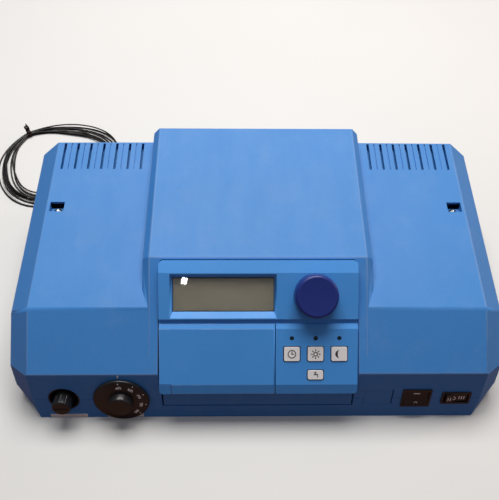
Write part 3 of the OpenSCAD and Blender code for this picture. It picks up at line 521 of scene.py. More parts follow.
def panel_at(right, up, out=0.0):
    """Matrix of a spot on the panel, counted from the knob's axis."""
    return placed(KNOB_AT + RIGHT * right + PANEL_UP * up + PANEL_OUT * out, RIGHT, PANEL_UP)


def face_at(right, up, out=0.0):
    """Matrix of a spot on the front face, counted from the dial's axis."""
    return placed(DIAL_AT + RIGHT * right + FACE_UP * up + FACE_OUT * out, RIGHT, FACE_UP)


def middle_of(node):
    """The middle of a node's box."""
    low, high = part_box(node)
    return (low + high) / 2


def mesh_tree(piece):
    """A tree of an object's faces for casting rays at it."""
    mesh = piece.data
    corners = [vert.co for vert in mesh.vertices]
    return BVHTree.FromPolygons(corners, [face.vertices for face in mesh.polygons])


SHARP = math.radians(12)
RAY_CLEAR = 0.00002


def outer_edges(piece, shortest):
    """Indices of the convex edges of this length or more that face open space."""
    mesh = bmesh.new()
    mesh.from_mesh(piece.data)
    tree = mesh_tree(piece)
    chosen = []
    for edge in mesh.edges:
        if len(edge.link_faces) != 2 or edge.calc_face_angle_signed(0.0) < SHARP:
            continue
        out = (edge.link_faces[0].normal + edge.link_faces[1].normal).normalized()
        middle = (edge.verts[0].co + edge.verts[1].co) / 2
        if edge.calc_length() >= shortest and not tree.ray_cast(middle + out * RAY_CLEAR, out)[0]:
            chosen.append(edge.index)
    mesh.free()
    return chosen


def soften(piece, chosen, radius, segments, clamp):
    """Rounds the edges with these indices, and marks the rounded strips for the paler colour of edge wear
    and painted highlight.
    """
    mesh = edit(piece)
    bpy.ops.mesh.select_mode(type="EDGE")
    mesh.edges.ensure_lookup_table()
    for index in chosen:
        mesh.edges[index].select = True
    mesh.select_flush_mode()
    bmesh.update_edit_mesh(piece.data)
    bpy.ops.mesh.bevel(
        offset=radius, segments=segments, profile=0.5, affect="EDGES", clamp_overlap=clamp)
    mesh = bmesh.from_edit_mesh(piece.data)
    # Strips that get the paler colour of edge wear and painted highlight.
    worn_and_highlit = mesh.faces.layers.float.new(EDGE_WEAR_AND_HIGHLIGHT)
    for face in mesh.faces:
        longest = max(edge.calc_length() for edge in face.edges)
        face[worn_and_highlit] = float(face.select and face.calc_area() < radius * longest)
    bmesh.update_edit_mesh(piece.data)
    bpy.ops.object.mode_set(mode="OBJECT")


def block(name, size, rounding):
    """A box with rounded edges about the origin."""
    bpy.ops.mesh.primitive_cube_add(size=1, scale=size)
    piece = settle(made(name))
    edit(piece, "SELECT")
    bpy.ops.mesh.bevel(offset=rounding, segments=2, affect="EDGES")
    bpy.ops.object.mode_set(mode="OBJECT")
    return piece


MERGE = 0.000002
FLAT = math.radians(0.3)


def moulding(node, look, radius=0.0, segments=2, shortest=0.0, angle=30, clamp=True):
    """A copy of a node with merged faces and softened edges, which stands for that node."""
    alone(NODES[node])
    bpy.ops.object.duplicate()
    piece = made(node + "_moulding")
    if "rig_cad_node" in piece:
        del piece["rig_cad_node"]
    edit(piece, "SELECT")
    bpy.ops.mesh.remove_doubles(threshold=MERGE)
    bpy.ops.mesh.dissolve_limited(angle_limit=FLAT)
    bpy.ops.object.mode_set(mode="OBJECT")
    chosen = outer_edges(piece, shortest) if radius else []
    if chosen:
        soften(piece, chosen, radius, segments, clamp)
    smooth(piece, angle)
    dress(piece, look, BODY_OF[node])
    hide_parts(node)
    return piece


# ---- housing


# Two spots on a wing's plain top, and the screens that hang under its vents.
WING_CLEAR = (0.045, 0.060)
VENT_MIDDLE = 0.1582
VENT_AHEAD = 0.0200
SCREEN_SIZE = (0.0880, 0.0334, 0.0008)
SCREEN_DOWN = 0.0068
COVER_WALL = 0.0026
RIB_WIDTH = 0.0016
RIB_INTO = 0.0004
SCREW_ROUND = 0.0002
CRISP = 0.0001
RAY_FROM = 0.3


def wing_at(right, ahead, down):
    """Matrix of a spot under a wing's top, counted from the cover's rear edge."""
    tree = mesh_tree(NODES["upper_cover"])
    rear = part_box("upper_cover")[1].y
    starts = [Vector((right, rear - reach, RAY_FROM)) for reach in WING_CLEAR]
    near, far = [tree.ray_cast(start, Vector((0, 0, -1)))[0] for start in starts]
    along = (near - far).normalized()
    out = RIGHT.cross(along)
    return placed(near + along * (WING_CLEAR[0] - ahead) / along.y - out * down, RIGHT, along)


def vent_screen(name, side):
    """A plate close under a group of vents, hung from the wing by a rib at each end."""
    width, length, thick = SCREEN_SIZE
    parts = [settle(block(name, SCREEN_SIZE, CRISP), Matrix.Translation((0, 0, -thick / 2)))]
    high = SCREEN_DOWN - COVER_WALL
    for end in (-1, 1):
        rib = block(name, (RIB_WIDTH, length, high + RIB_INTO), CRISP)
        at = (end * (width / 2 - RIB_WIDTH / 2), 0, (high - RIB_INTO) / 2)
        parts.append(settle(rib, Matrix.Translation(at)))
    screen = settle(join(parts, name), wing_at(side * VENT_MIDDLE, VENT_AHEAD, SCREEN_DOWN))
    return dress(smooth(screen), "cover_blue")


class CONTROL_OT_housing(bpy.types.Operator):
    """Cover with its vent screens and screws, base, rear wall, cradle and blanking plate"""

    bl_idname = "control.housing"
    bl_label = "Housing"

    def execute(self, context):
        rounding = settings("rounding")
        moulding("upper_cover", "cover_blue", rounding.cover, 3, shortest=0.036, clamp=False)
        moulding("base_tray", "cover_blue", rounding.cover * 1.2, 3, shortest=0.02)
        moulding("back_wall", "cover_blue", rounding.small, shortest=0.015)
        moulding("panel_cradle", "cover_blue", rounding.small, shortest=0.01, clamp=False)
        moulding("blank_plate", "cover_blue", rounding.small)
        moulding("cover_screws", "zinc", SCREW_ROUND)
        vent_screen("vent_screen_left", -1)
        vent_screen("vent_screen_right", 1)
        return {"FINISHED"}


# ---- operating panel


class CONTROL_OT_panel(bpy.types.Operator):
    """Panel housing, flap and knob"""

    bl_idname = "control.panel"
    bl_label = "Operating panel"

    def execute(self, context):
        rounding = settings("rounding")
        moulding("panel_housing", "panel_blue", rounding.panel, shortest=0.008)
        moulding("flap", "panel_blue", rounding.small, shortest=0.003, clamp=False)
        moulding("rotary_knob", "knob_navy", angle=40)
        return {"FINISHED"}


MARK_HIGH = 0.00012
MARK_SUNK = 0.00003
STROKE = 0.0008
SUN_REACH = 0.0034


def bar(width, length, at=(0, 0), turn=0.0, height=MARK_HIGH):
    """A thin printed bar, turned by degrees, with its middle at a point."""
    bpy.ops.mesh.primitive_cube_add(
        size=1, location=(*at, height / 2), rotation=(0, 0, math.radians(turn)),
        scale=(width, length, height))
    return made()


def disc(radius, at=(0, 0)):
    """A thin printed disc."""
    bpy.ops.mesh.primitive_cylinder_add(
        vertices=24, radius=radius, depth=MARK_HIGH, location=(*at, MARK_HIGH / 2))
    return made()


def ring(radius, width):
    """A thin printed ring."""
    bpy.ops.mesh.primitive_circle_add(vertices=32, radius=radius, fill_type="NOTHING")
    piece = made()
    edit(piece, "SELECT")
    bpy.ops.mesh.extrude_edges_move()
    scale = 1 - width / radius
    bpy.ops.transform.resize(value=(scale, scale, 1), center_override=(0, 0, 0))
    bpy.ops.mesh.select_all(action="SELECT")
    bpy.ops.mesh.extrude_region_move(TRANSFORM_OT_translate={"value": (0, 0, MARK_HIGH)})
    turn_faces_out()
    return piece


def sun_mark():
    """A ring with eight rays."""
    turns = range(0, 360, 45)
    rays = [bar(STROKE, 0.0018, (-sind(turn) * SUN_REACH, cosd(turn) * SUN_REACH), turn) for turn in turns]
    return [ring(0.0020, STROKE)] + rays


def moon_mark():
    """A crescent: a disc whose right half is pushed back into it."""
    piece = disc(0.0036)
    mesh = edit(piece)
    for vert in mesh.verts:
        vert.select = vert.co.x > 0.0002
    mesh.select_flush_mode()
    bmesh.update_edit_mesh(piece.data)
    bpy.ops.transform.resize(value=(-0.4, 1, 1), center_override=(0, 0, 0))
    turn_faces_out()
    return [piece]


def clock_mark():
    """A clock face with two hands."""
    return [ring(0.0038, STROKE), bar(STROKE, 0.0026, (0, 0.0011)), bar(STROKE, 0.0020, (0.0009, 0), 90)]


def tap_mark():
    """A water tap over a drop."""
    return [bar(0.0009, 0.0030, (0, 0.0006), 90), bar(STROKE, 0.0016, (-0.0002, 0.0016)),
        bar(0.0006, 0.0024, (-0.0002, 0.0025), 90), bar(0.0009, 0.0014, (0.0019, 0.0001)),
        disc(0.0006, (0.0019, -0.0016))]


def surface_above(node, matrix):
    """How far out of a spot's own plane the node's surface lies."""
    out = matrix.to_3x3() @ Vector((0, 0, 1))
    start = matrix.translation + out * 0.05
    at = mesh_tree(NODES[node]).ray_cast(start, -out)[0]
    if at is None:
        raise RuntimeError("nothing of " + node + " lies under the mark")
    return (at - matrix.translation).dot(out)


def print_on(pieces, name, node, matrix, look):
    """Joins thin pieces and prints them on a node's surface."""
    mark = join(pieces, name)
    lift = surface_above(node, matrix) - MARK_SUNK
    settle(mark, matrix @ Matrix.Translation((0, 0, lift)))
    return dress(mark, look, BODY_OF[node])


KEY_GAP = 0.0009
# A black frame in each key's gap stands for the shade in that gap: painted shade.
GAP_SHADE_ROUND = 0.0018
GAP_SHADE_CLEAR = 0.0001
GAP_SHADE_DOWN = 0.0009
GAP_SHADE_HIGH = 0.0003


def gasket(name, width, length):
    """A thin flat black frame that fills the gap round a key of this size: painted shade in the gap."""
    bpy.ops.mesh.primitive_plane_add(size=1)
    piece = made(name)
    piece.scale = (width + 2 * KEY_GAP, length + 2 * KEY_GAP, 1)
    settle(piece)
    edit(piece, "SELECT")
    bpy.ops.mesh.bevel(offset=GAP_SHADE_ROUND, segments=4, affect="VERTICES")
    bpy.ops.mesh.select_all(action="SELECT")
    bpy.ops.mesh.inset(thickness=KEY_GAP - GAP_SHADE_CLEAR)
    bpy.ops.mesh.delete(type="FACE")
    bpy.ops.mesh.select_all(action="SELECT")
    bpy.ops.mesh.extrude_region_move(TRANSFORM_OT_translate={"value": (0, 0, -GAP_SHADE_HIGH)})
    turn_faces_out()
    return piece


KEY_SIZE = (0.0140, 0.0126)
WATER_SIZE = (0.0138, 0.0081)
KEY_RIGHT = 0.0004
KEY_PITCH = 0.0212
KEY_UP = -0.0530
WATER_UP = -0.0719

# Each key's column, its height on the panel, its size and its mark.
KEYS = {
    "key_auto": (-1, KEY_UP, KEY_SIZE, clock_mark),
    "key_day": (0, KEY_UP, KEY_SIZE, sun_mark),
    "key_night": (1, KEY_UP, KEY_SIZE, moon_mark),
    "key_water": (0, WATER_UP, WATER_SIZE, tap_mark),
}


class CONTROL_OT_keys(bpy.types.Operator):
    """Mode keys with their marks and black frames of painted shade in their gaps, and the keys under the
    flap
    """

    bl_idname = "control.keys"
    bl_label = "Keys"

    def execute(self, context):
        rounding = settings("rounding")
        for node in KEYS:
            moulding(node, "key_ivory", rounding.small, 3)
        for node, (column, up, size, mark) in KEYS.items():
            right = KEY_RIGHT + KEY_PITCH * column
            print_on(mark(), node + "_mark", node, panel_at(right, up), "mark_dark")
            # A black frame in the gap round the key: painted shade.
            shade_frame = gasket(node + "_gasket", *size)
            face = surface_above("panel_housing", panel_at(right + KEY_PITCH / 2, up))
            settle(shade_frame, panel_at(right, up, face - GAP_SHADE_DOWN))
            dress(smooth(shade_frame), "switch_black")
        for number in range(1, 7):
            moulding("inner_key_%d" % number, "key_grey", rounding.small)
        return {"FINISHED"}


LCD_SIZE = (0.0900, 0.0290, 0.0005)
LCD_OUT = -0.00622


class CONTROL_OT_display(bpy.types.Operator):
    """The liquid-crystal glass under the clear window"""

    bl_idname = "control.display"
    bl_label = "Display"

    def execute(self, context):
        glass = block("display_glass", LCD_SIZE, CRISP)
        across = middle_of("display_window") - KNOB_AT
        settle(glass, panel_at(across.dot(RIGHT), across.dot(PANEL_UP), LCD_OUT))
        dress(smooth(glass), "display_olive")
        return {"FINISHED"}


# ---- controls on the front face


NUMBER_SIZE = 0.0052
NUMBER_BOLD = 0.00022


def number_mark(body):
    """A printed number, made a mesh, with its middle at the origin."""
    bpy.ops.object.text_add()
    piece = made()
    piece.data.body = body
    piece.data.size = NUMBER_SIZE
    piece.data.extrude = MARK_HIGH / 2
    piece.data.offset = NUMBER_BOLD
    piece.data.align_x = "CENTER"
    piece.data.align_y = "CENTER"
    alone(piece)
    bpy.ops.object.convert(target="MESH")
    return made()


DIAL_MARK_R = 0.0176
DIAL_TICK_R = 0.0226
DIAL_FIRST = 91
DIAL_LAST = -45
DIAL_NUMBERS = ("40", "50", "60", "70", "80")
TICK = (0.0010, 0.0014)
POINTER = (0.0010, 0.0030)
POINTER_AT = (-0.0005, 0.0282)
TICK_HIGH = 0.0002
TICK_SUNK = 0.00012


class CONTROL_OT_thermostat(bpy.types.Operator):
    """Thermostat dial with its scale and pointer, and the limiter's collar and cap"""

    bl_idname = "control.thermostat"
    bl_label = "Dial and limiter"

    def execute(self, context):
        dial = "thermostat_dial"
        moulding(dial, "switch_black", angle=35)
        marks = []
        for index, body in enumerate(DIAL_NUMBERS):
            angle = DIAL_FIRST + (DIAL_LAST - DIAL_FIRST) * index / (len(DIAL_NUMBERS) - 1)
            along = Vector((cosd(angle), sind(angle), 0))
            turned = Matrix.Rotation(math.radians(angle - 90), 4, "Z")
            tick = bar(*TICK, height=TICK_HIGH)
            for mark, reach, sunk in ((number_mark(body), DIAL_MARK_R, 0), (tick, DIAL_TICK_R, TICK_SUNK)):
                spot = face_at(0, 0) @ Matrix.Translation(along * reach)
                lift = surface_above(dial, spot) - sunk
                marks.append(settle(mark, spot @ Matrix.Translation((0, 0, lift)) @ turned))
        dress(join(marks, "dial_scale"), "mark_white", BODY_OF[dial])
        pointer = settle(bar(*POINTER, height=TICK_HIGH), face_at(*POINTER_AT))
        pointer.name = "dial_pointer"
        dress(pointer, "mark_white")
        moulding("limiter_collar", "switch_black", settings("rounding").small * 0.6)
        moulding("limiter_cap", "switch_black", angle=35)
        return {"FINISHED"}


BAR_PITCH = 0.0022


def bars(count):
    """Upright bars side by side, the first at the origin."""
    return [bar(0.0009, 0.0042, (step * BAR_PITCH, 0)) for step in range(count)]


class CONTROL_OT_rockers(bpy.types.Operator):
    """Both rocker switches with their marks"""

    bl_idname = "control.rockers"
    bl_label = "Rocker switches"

    def execute(self, context):
        rounding = settings("rounding")
        for node in ("power_switch_frame", "mode_switch_frame", "power_rocker", "mode_rocker"):
            moulding(node, "switch_black", rounding.small, shortest=0.004)
        for name, right, up, mark in (
            ("power_on", 0, 0.0056, lambda: [bar(0.0060, 0.0012)]),
            ("power_off", 0, -0.0052, lambda: [ring(0.0016, 0.0006)]),
            ("mode_left", -0.0078, 0, lambda: bars(2)),
            ("mode_middle", -0.0022, 0, lambda: [ring(0.0021, STROKE)]),
            ("mode_right", 0.0032, 0, lambda: bars(3)),
        ):
            switch = name.split("_")[0]
            away = Vector(JOINTS[switch + "_rock"]["pos_m"]) - DIAL_AT
            spot = face_at(away.dot(RIGHT) + right, away.dot(FACE_UP) + up)
            print_on(mark(), name + "_mark", switch + "_rocker", spot, "mark_white")
        return {"FINISHED"}


LABEL_UP = -0.0235
LABELS = {"limiter_label": (-0.0517, 0.0345), "dial_label": (0.0012, 0.0338)}
LABEL_H = 0.0040
LABEL_T = 0.0003
LABEL_ROUND = 0.00008


class CONTROL_OT_labels(bpy.types.Operator):
    """Two bare label strips under the thermostat and the limiter"""

    bl_idname = "control.labels"
    bl_label = "Bare labels"

    def execute(self, context):
        for name, (right, width) in LABELS.items():
            strip = block(name, (width, LABEL_H, LABEL_T), LABEL_ROUND)
            settle(strip, face_at(right, LABEL_UP, LABEL_T / 2))
            dress(smooth(strip), "label_pale")
        return {"FINISHED"}


# ---- sensor lead

# Routes in millimetres, counted from the spot on the rear wall where the lead comes out.
LEAD_ROUTE = [(0, 0.5, 12), (0, 8, 11.5), (-1, 17.5, 7.5), (-5, 28.5, 2.8), (-12, 38.5, 1.3),
    (-19.7, 44, 1.2), (-26.3, 48.4, 1.2), (-31.0, 53.0, 1.0), (-33.8, 58.6, 1.0)]
TAIL_ROUTE = [(-19.8, 68.5, 2.2), (-14.6, 85.6, 1.6), (-7, 92.5, 1.2), (4, 95.5, 1.2), (18, 87.5, 1.2),
    (28, 75.5, 1.2), (36, 63.5, 1.2), (46, 55.5, 1.4), (58, 51.5, 2.4), (68, 51.5, 3.2)]
COIL_MIDDLE = (-98.0, 71.0)
COIL_R = 75.0
COIL_W = 24.0
COIL_TOP = 10.0
TIE_ANGLE = 133.0
TIE_PITCH = 2.3
POINTS_PER_TURN = 200
SETTLING_STEPS = 120
SINKING_PART = 0.7
SINK_STEP = 0.05
SPACING = 1.03
SAME_STRAND = 6
STRAIGHTENING = 0.3
ROUTE_STEPS = 5
KEPT_STEP = 3

# Each turn's distance inside the coil's edge, its height, and its column and row in the tie.
TURNS = ((16.5, 1.9, 2, 0), (10.5, 5.5, 1, 1), (4.5, 9.0, 0, 2), (14.0, 3.7, 1, 0), (20.5, 7.3, 2, 2),
    (7.0, 1.9, 0, 0), (12.5, 9.0, 1, 2), (17.5, 5.5, 2, 1), (2.5, 3.7, 0, 1))


def coil_radius(angle):
    """Outer radius of the coil at an angle, in millimetres and degrees."""
    return COIL_R + 3.9 * cosd(2 * angle - 40) + 5 * cosd(3 * angle - 47)


def curve_point(before, start, end, after, part):
    """A point on the smooth curve between start and end."""
    return tuple(0.5 * (2 * q + (r - p) * part + (2 * p - 5 * q + 4 * r - s) * part ** 2
        + (3 * q - p - 3 * r + s) * part ** 3) for p, q, r, s in zip(before, start, end, after))


def smooth_route(points):
    """Points along a smooth curve through given ones."""
    last = len(points) - 1
    route = []
    for index in range(last):
        before, after = points[max(index - 1, 0)], points[min(index + 2, last)]
        for step in range(ROUTE_STEPS):
            part = step / ROUTE_STEPS
            route.append(Vector(curve_point(before, points[index], points[index + 1], after, part)))
    return route + [Vector(points[last])]


def laid_coil(turns):
    """Points of the coil's turns as first laid: wandering about, and gathered at the tie."""
    route = []
    for step in range(-3, turns * POINTS_PER_TURN - 2):
        turn = max(step // POINTS_PER_TURN, 0)
        part = step / POINTS_PER_TURN - turn
        angle = part * 360
        blend = max(0.0, (part - 0.75) * 4)
        blend = blend * blend * (3 - 2 * blend)
        here, after = TURNS[turn], TURNS[min(turn + 1, turns - 1)]
        inset, height = (first + (second - first) * blend for first, second in zip(here[:2], after[:2]))
        wander = 3.4 * sind(angle + turn * 137) + 2.0 * sind(2 * angle + turn * 71)
        inset += wander * sind(angle / 2)
        tied = math.exp(-((angle - TIE_ANGLE) / 32) ** 2)
        inset += (COIL_W / 2 + (here[2] - 1) * TIE_PITCH - inset) * tied
        height += (1.95 + here[3] * TIE_PITCH - height) * tied
        reach = coil_radius(angle) - inset
        across, along = COIL_MIDDLE
        route.append(Vector((across + reach * cosd(angle), along + reach * sind(angle), height)))
    return route


def inside_coil(point, radius):
    """The nearest place for a strand's middle that keeps the strand inside the coil."""
    away = Vector((point.x - COIL_MIDDLE[0], point.y - COIL_MIDDLE[1]))
    angle = math.degrees(math.atan2(point.y - COIL_MIDDLE[1], point.x - COIL_MIDDLE[0])) % 360
    edge = coil_radius(angle)
    tied = math.exp(-((angle - TIE_ANGLE) / 14) ** 2)
    margin = radius + 0.2 + (COIL_W / 2 - TIE_PITCH - 0.4 - radius) * tied
    reach = min(max(away.length, edge - COIL_W + margin), edge - margin)
    away *= reach / away.length
    top = COIL_TOP - radius - (COIL_TOP - radius - 2 * TIE_PITCH - 2.0) * tied
    height = min(max(point.z, radius + 0.05), top)
    return Vector((COIL_MIDDLE[0] + away.x, COIL_MIDDLE[1] + away.y, height))


def settled(lead, coil, tail, diameter):
    """Lets the coil's points sink, with no two strands closer than the lead's diameter."""
    route = lead + coil + tail
    reach = diameter * SPACING
    for step in range(SETTLING_STEPS):
        tree = KDTree(len(route))
        for index, point in enumerate(route):
            tree.insert(point, index)
        tree.balance()
        sink = Vector((0, 0, -SINK_STEP if step < SETTLING_STEPS * SINKING_PART else 0))
        moved = list(route)
        for index in range(len(lead), len(lead) + len(coil)):
            point = route[index]
            push = sink.copy()
            for other, number, distance in tree.find_range(point, reach):
                if abs(number - index) > SAME_STRAND and distance > 0.001:
                    away = point - other
                    if number < len(lead) or number >= len(lead) + len(coil):
                        away.z = max(away.z, diameter)
                    push += away.normalized() * (0.5 * (reach - distance))
            middle = (route[index - 1] + route[index + 1]) / 2
            moved[index] = inside_coil(point + push + (middle - point) * STRAIGHTENING, diameter / 2)
        route = moved
    return route


def lead_route(turns, diameter):
    """The whole lead from the rear wall through the coil to the probe."""
    lead = smooth_route(LEAD_ROUTE)
    tail = smooth_route(TAIL_ROUTE)
    route = settled(lead, laid_coil(turns), tail, diameter)
    return lead + route[len(lead):-len(tail)][::KEPT_STEP] + tail


def tube_curve(name, route, radius, start):
    """A round curve along a route in millimetres from a starting spot."""
    curve = bpy.data.curves.new(name, "CURVE")
    curve.dimensions = "3D"
    curve.bevel_depth = radius
    curve.bevel_resolution = 3
    curve.use_fill_caps = True
    spline = curve.splines.new("POLY")
    spline.points.add(len(route) - 1)
    for point, place in zip(spline.points, route):
        point.co = (*(start + place * MM), 1)
    spline.use_smooth = True
    piece = bpy.data.objects.new(name, curve)
    bpy.context.collection.objects.link(piece)
    return piece


SPIN_STEPS = 32
SEAM = 0.000005


def lathe(name, profile, place):
    """A closed solid spun from (radius, height) points about Z, set in its place."""
    bpy.ops.mesh.primitive_plane_add(size=1)
    piece = made(name)
    mesh = edit(piece)
    bmesh.ops.delete(mesh, geom=mesh.verts[:], context="VERTS")
    points = [mesh.verts.new((radius, 0, height)) for radius, height in profile]
    for first, second in zip(points, points[1:]):
        mesh.edges.new((first, second))
    bmesh.update_edit_mesh(piece.data)
    bpy.ops.mesh.select_all(action="SELECT")
    bpy.ops.mesh.spin(steps=SPIN_STEPS, angle=math.tau, center=(0, 0, 0), axis=(0, 0, 1))
    bpy.ops.mesh.select_all(action="SELECT")
    bpy.ops.mesh.remove_doubles(threshold=SEAM)
    turn_faces_out()
    return smooth(settle(piece, place))


BOOT_PROFILE = [(0.00095, 0.0), (0.0042, 0.0), (0.0042, 0.0012), (0.0036, 0.0016), (0.0034, 0.0030),
    (0.0030, 0.0032), (0.0028, 0.0048), (0.0024, 0.0050), (0.0022, 0.0066), (0.0018, 0.0068),
    (0.0016, 0.0085), (0.00095, 0.0088), (0.00095, 0.0)]
TIE_BAND = (0.0090, 0.0036, 0.0090)
TIE_WALL = 0.0008
TIE_LOCK = (0.0050, 0.0052, 0.0050)
TIE_END = (0.0036, 0.0009, 0.0034)
TIE_MIDDLE = 4.55


def bundle_tie(start):
    """A nylon band round the bundle, with its lock and the cut end."""
    bpy.ops.mesh.primitive_cube_add(size=1, scale=TIE_BAND)
    band = settle(made())
    mesh = edit(band)
    for face in mesh.faces:
        face.select = abs(face.normal.y) > 0.9
    bmesh.update_edit_mesh(band.data)
    bpy.ops.mesh.select_mode(type="FACE")
    bpy.ops.mesh.inset(thickness=TIE_WALL)
    bpy.ops.mesh.bridge_edge_loops()
    turn_faces_out()
    top = TIE_BAND[2] / 2
    lock = settle(block("tie_lock", TIE_LOCK, 0.0007), Matrix.Translation((0.0016, 0, top + 0.0024)))
    end = settle(block("tie_end", TIE_END, 0.0002), Matrix.Translation((0.0022, -0.0012, top + 0.0058)))
    tie = join([band, lock, end], "bundle_tie")
    out = Vector((cosd(TIE_ANGLE), sind(TIE_ANGLE), 0))
    at = Vector((*COIL_MIDDLE, TIE_MIDDLE)) + out * (coil_radius(TIE_ANGLE) - COIL_W / 2)
    settle(tie, placed(start + at * MM, out, Vector((-out.y, out.x, 0))))
    return smooth(tie)


class CONTROL_OT_sensor_lead(bpy.types.Operator):
    """Sensor lead with its coil, tie, boot and probe"""

    bl_idname = "control.sensor_lead"
    bl_label = "Sensor lead"

    def execute(self, context):
        lead = settings("lead")
        low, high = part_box("lead_sleeve")
        start = Vector(((low.x + high.x) / 2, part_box("base_tray")[1].y, 0))
        route = lead_route(lead.turns, lead.diameter / MM)
        cord = tube_curve("sensor_cord", route, lead.diameter / 2, start)
        dress(cord, "lead_black")
        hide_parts("sensor_lead", "sensor_coil", "sensor_tail")
        tie = bundle_tie(start)
        dress(tie, "tie_black")
        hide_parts("coil_tie")
        exit_at = Vector((start.x, high.y, LEAD_ROUTE[0][2] * MM))
        boot = lathe("lead_boot", BOOT_PROFILE, placed(exit_at, RIGHT, Vector((0, 0, -1))))
        dress(boot, "tie_black")
        paint(NODES["sensor_probe"], "zinc")
        return {"FINISHED"}


# ---- inner pieces

PLAIN_NODES = {
    "window_clear": ("display_window",),
    "switch_black": ("display_module", "tact_switches"),
    "board_green": ("key_board", "main_board"),
    "lens_dark": ("led_lenses",),
    "zinc": ("knob_encoder", "flap_hinge_pins", "thermostat_body", "limiter_body", "rocker_pins",
        "board_screws", "clamp_screws", "sensor_probe"),
    "button_red": ("limiter_button",),
    "core_steel": ("transformer",),
    "terminal_green": ("terminal_blocks",),
    "tie_black": ("cable_clamp", "lead_sleeve", "coil_tie"),
    "lead_black": ("sensor_lead", "sensor_coil", "sensor_tail"),
}


class CONTROL_OT_finishes(bpy.types.Operator):
    """Finishes of the pieces that keep their own shape"""

    bl_idname = "control.finishes"
    bl_label = "Other finishes"

    def execute(self, context):
        for look, nodes in PLAIN_NODES.items():
            for node in nodes:
                paint(NODES[node], look)
        return {"FINISHED"}


# ---- stage

CAMERA_AT = (-0.01673, -0.30663, 0.53352)
CAMERA_LENS = 41.02
CAMERA_PITCH = 0.96428
CAMERA_YAW = -0.02996
CAMERA_ROLL = 0.024753


def camera_matrix():
    """The camera's place: looking down by the pitch, turned by the yaw and tilted by the roll."""
    ahead = Vector((-math.sin(CAMERA_YAW) * math.cos(CAMERA_PITCH),
        math.cos(CAMERA_YAW) * math.cos(CAMERA_PITCH), -math.sin(CAMERA_PITCH)))
    level = Vector((math.cos(CAMERA_YAW), math.sin(CAMERA_YAW), 0))
    upright = level.cross(ahead)
    right = math.cos(CAMERA_ROLL) * level + math.sin(CAMERA_ROLL) * upright
    up = -math.sin(CAMERA_ROLL) * level + math.cos(CAMERA_ROLL) * upright
    return placed(Vector(CAMERA_AT), right, up)


def lamp(name, at, target, size, power, colour):
    """A square area lamp that points at a spot."""
    bpy.ops.object.light_add(type="AREA", location=at)
    light = made(name)
    light.data.shape = "RECTANGLE"
    light.data.size, light.data.size_y = size
    light.data.energy = power
    light.data.color = colour
    light.rotation_euler = (Vector(target) - Vector(at)).to_track_quat("-Z", "Y").to_euler()
    return light


GLINT_AT = (-0.0349, 0.0125)
GLINT_AWAY = 1.5
GLINT_SIZE = (0.020, 0.022)
GLINT_POWER = 0.06


def glint_on_display():
    """A tiny far lamp whose reflection stands in the upper left of the display's window."""
    spot = middle_of("display_window") + RIGHT * GLINT_AT[0] + PANEL_UP * GLINT_AT[1]
    towards = spot - Vector(CAMERA_AT)
    away = (towards - PANEL_OUT * 2 * towards.dot(PANEL_OUT)).normalized()
    lamp("glint_lamp", spot + away * GLINT_AWAY, spot, GLINT_SIZE, GLINT_POWER, (1.0, 1.0, 1.0))


def floor_finish(colour, bounce):
    """Pale floor to look at, which throws the darker, warmer light of a table back onto the unit."""
    nodes = Nodes("floor_pale")
    cloud = nodes.noise(0.4, detail=3.0)
    tone = nodes.ramp(cloud, shade(colour, 0.985), shade(colour, 1.01))
    seen = nodes.add("ShaderNodeLightPath").outputs
    looked_at = nodes.add("ShaderNodeMath", operation="MAXIMUM")
    nodes.join(seen["Is Camera Ray"], looked_at.inputs[0])
    nodes.join(seen["Is Transmission Ray"], looked_at.inputs[1])
    base = nodes.mixed(looked_at.outputs["Value"], bounce, tone)
    return nodes.coat(base, nodes.span(cloud, 0.55, 0.65))


SKY_FADE = ((0.0, (0.34, 0.24, 0.44, 1)), (0.9, (0.93, 0.96, 1.0, 1)))
BACKDROP = (0.78, 0.78, 0.77, 1)


def sky_light(strength):
    """Even light from all round that fades towards the horizon, before a pale backdrop."""
    world = bpy.data.worlds.new("studio")
    world.use_nodes = True
    tree = world.node_tree
    sky = tree.nodes["Background"]
    sky.inputs["Strength"].default_value = strength
    place = tree.nodes.new("ShaderNodeTexCoord")
    parts = tree.nodes.new("ShaderNodeSeparateXYZ")
    fade = tree.nodes.new("ShaderNodeValToRGB")
    for element, (position, colour) in zip(fade.color_ramp.elements, SKY_FADE):
        element.position = position
        element.color = colour
    backdrop = tree.nodes.new("ShaderNodeBackground")
    backdrop.inputs["Color"].default_value = BACKDROP
    seen = tree.nodes.new("ShaderNodeLightPath")
    choice = tree.nodes.new("ShaderNodeMixShader")
    for output, target in (
        (place.outputs["Generated"], parts.inputs["Vector"]),
        (parts.outputs["Z"], fade.inputs["Fac"]),
        (fade.outputs["Color"], sky.inputs["Color"]),
        (seen.outputs["Is Camera Ray"], choice.inputs["Fac"]),
        (sky.outputs["Background"], choice.inputs[1]),
        (backdrop.outputs["Background"], choice.inputs[2]),
        (choice.outputs["Shader"], tree.nodes["World Output"].inputs["Surface"]),
    ):
        tree.links.new(output, target)
    bpy.context.scene.world = world


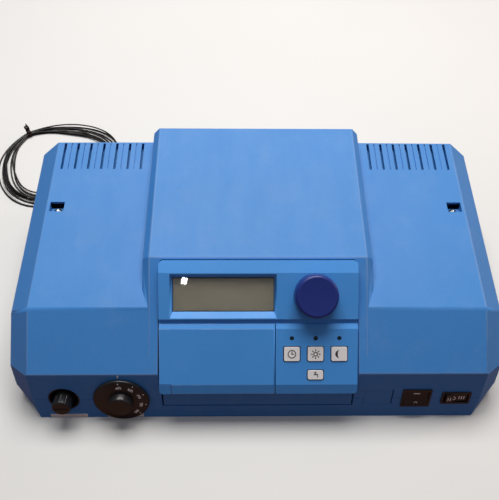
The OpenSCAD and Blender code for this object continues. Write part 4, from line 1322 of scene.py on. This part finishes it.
class CONTROL_OT_stage(bpy.types.Operator):
    """Camera, pale floor, lamps and even light"""

    bl_idname = "control.stage"
    bl_label = "Stage"

    def execute(self, context):
        stage = settings("stage")
        bpy.ops.object.camera_add()
        camera = made()
        camera.matrix_world = camera_matrix()
        camera.data.lens = CAMERA_LENS
        camera.data.sensor_width = 36
        camera.data.clip_start = 0.01
        context.scene.camera = camera
        bpy.ops.mesh.primitive_plane_add(size=6)
        floor = made("floor")
        floor.data.materials.append(floor_finish(tuple(stage.floor), tuple(stage.bounce)))
        lamp("key_lamp", (-0.03, 0.75, 1.60), (0, 0.05, 0.05), (1.3, 0.8), stage.key_power,
            (1.0, 0.985, 0.96))
        lamp("side_lamp", (1.5, 0.5, 0.52), (0.1, 0, 0.05), (0.6, 0.4), stage.key_power * 0.15,
            (1.0, 0.80, 0.62))
        glint_on_display()
        sky_light(stage.sky)
        context.scene.view_settings.view_transform = "Standard"
        return {"FINISHED"}


# ---- add-on


class CONTROL_PT_unit(bpy.types.Panel):
    """Settings and pieces of the control unit"""

    bl_label = "Control unit"
    bl_space_type = "VIEW_3D"
    bl_region_type = "UI"
    bl_category = "Control unit"

    def draw(self, context):
        for name in SETTINGS:
            box = self.layout.box()
            group = getattr(context.scene, name)
            for key in group.__annotations__:
                box.prop(group, key)
        for operator in OPERATORS:
            self.layout.operator(operator.bl_idname)


OPERATORS = (
    CONTROL_OT_stage,
    CONTROL_OT_sensor_lead,
    CONTROL_OT_finishes,
    CONTROL_OT_housing,
    CONTROL_OT_panel,
    CONTROL_OT_keys,
    CONTROL_OT_display,
    CONTROL_OT_thermostat,
    CONTROL_OT_rockers,
    CONTROL_OT_labels,
)
CLASSES = (*SETTINGS.values(), *OPERATORS, CONTROL_PT_unit)


def register():
    """Adds the settings, operators and panel."""
    for cls in CLASSES:
        bpy.utils.register_class(cls)
    for name, group in SETTINGS.items():
        setattr(bpy.types.Scene, name, PointerProperty(type=group))


def unregister():
    """Removes them again."""
    for name in SETTINGS:
        delattr(bpy.types.Scene, name)
    for cls in reversed(CLASSES):
        bpy.utils.unregister_class(cls)


def main():
    """Registers the add-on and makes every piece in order."""
    register()
    for operator in OPERATORS:
        group, name = operator.bl_idname.split(".")
        getattr(getattr(bpy.ops, group), name)()


if __name__ == "__main__":
    main()
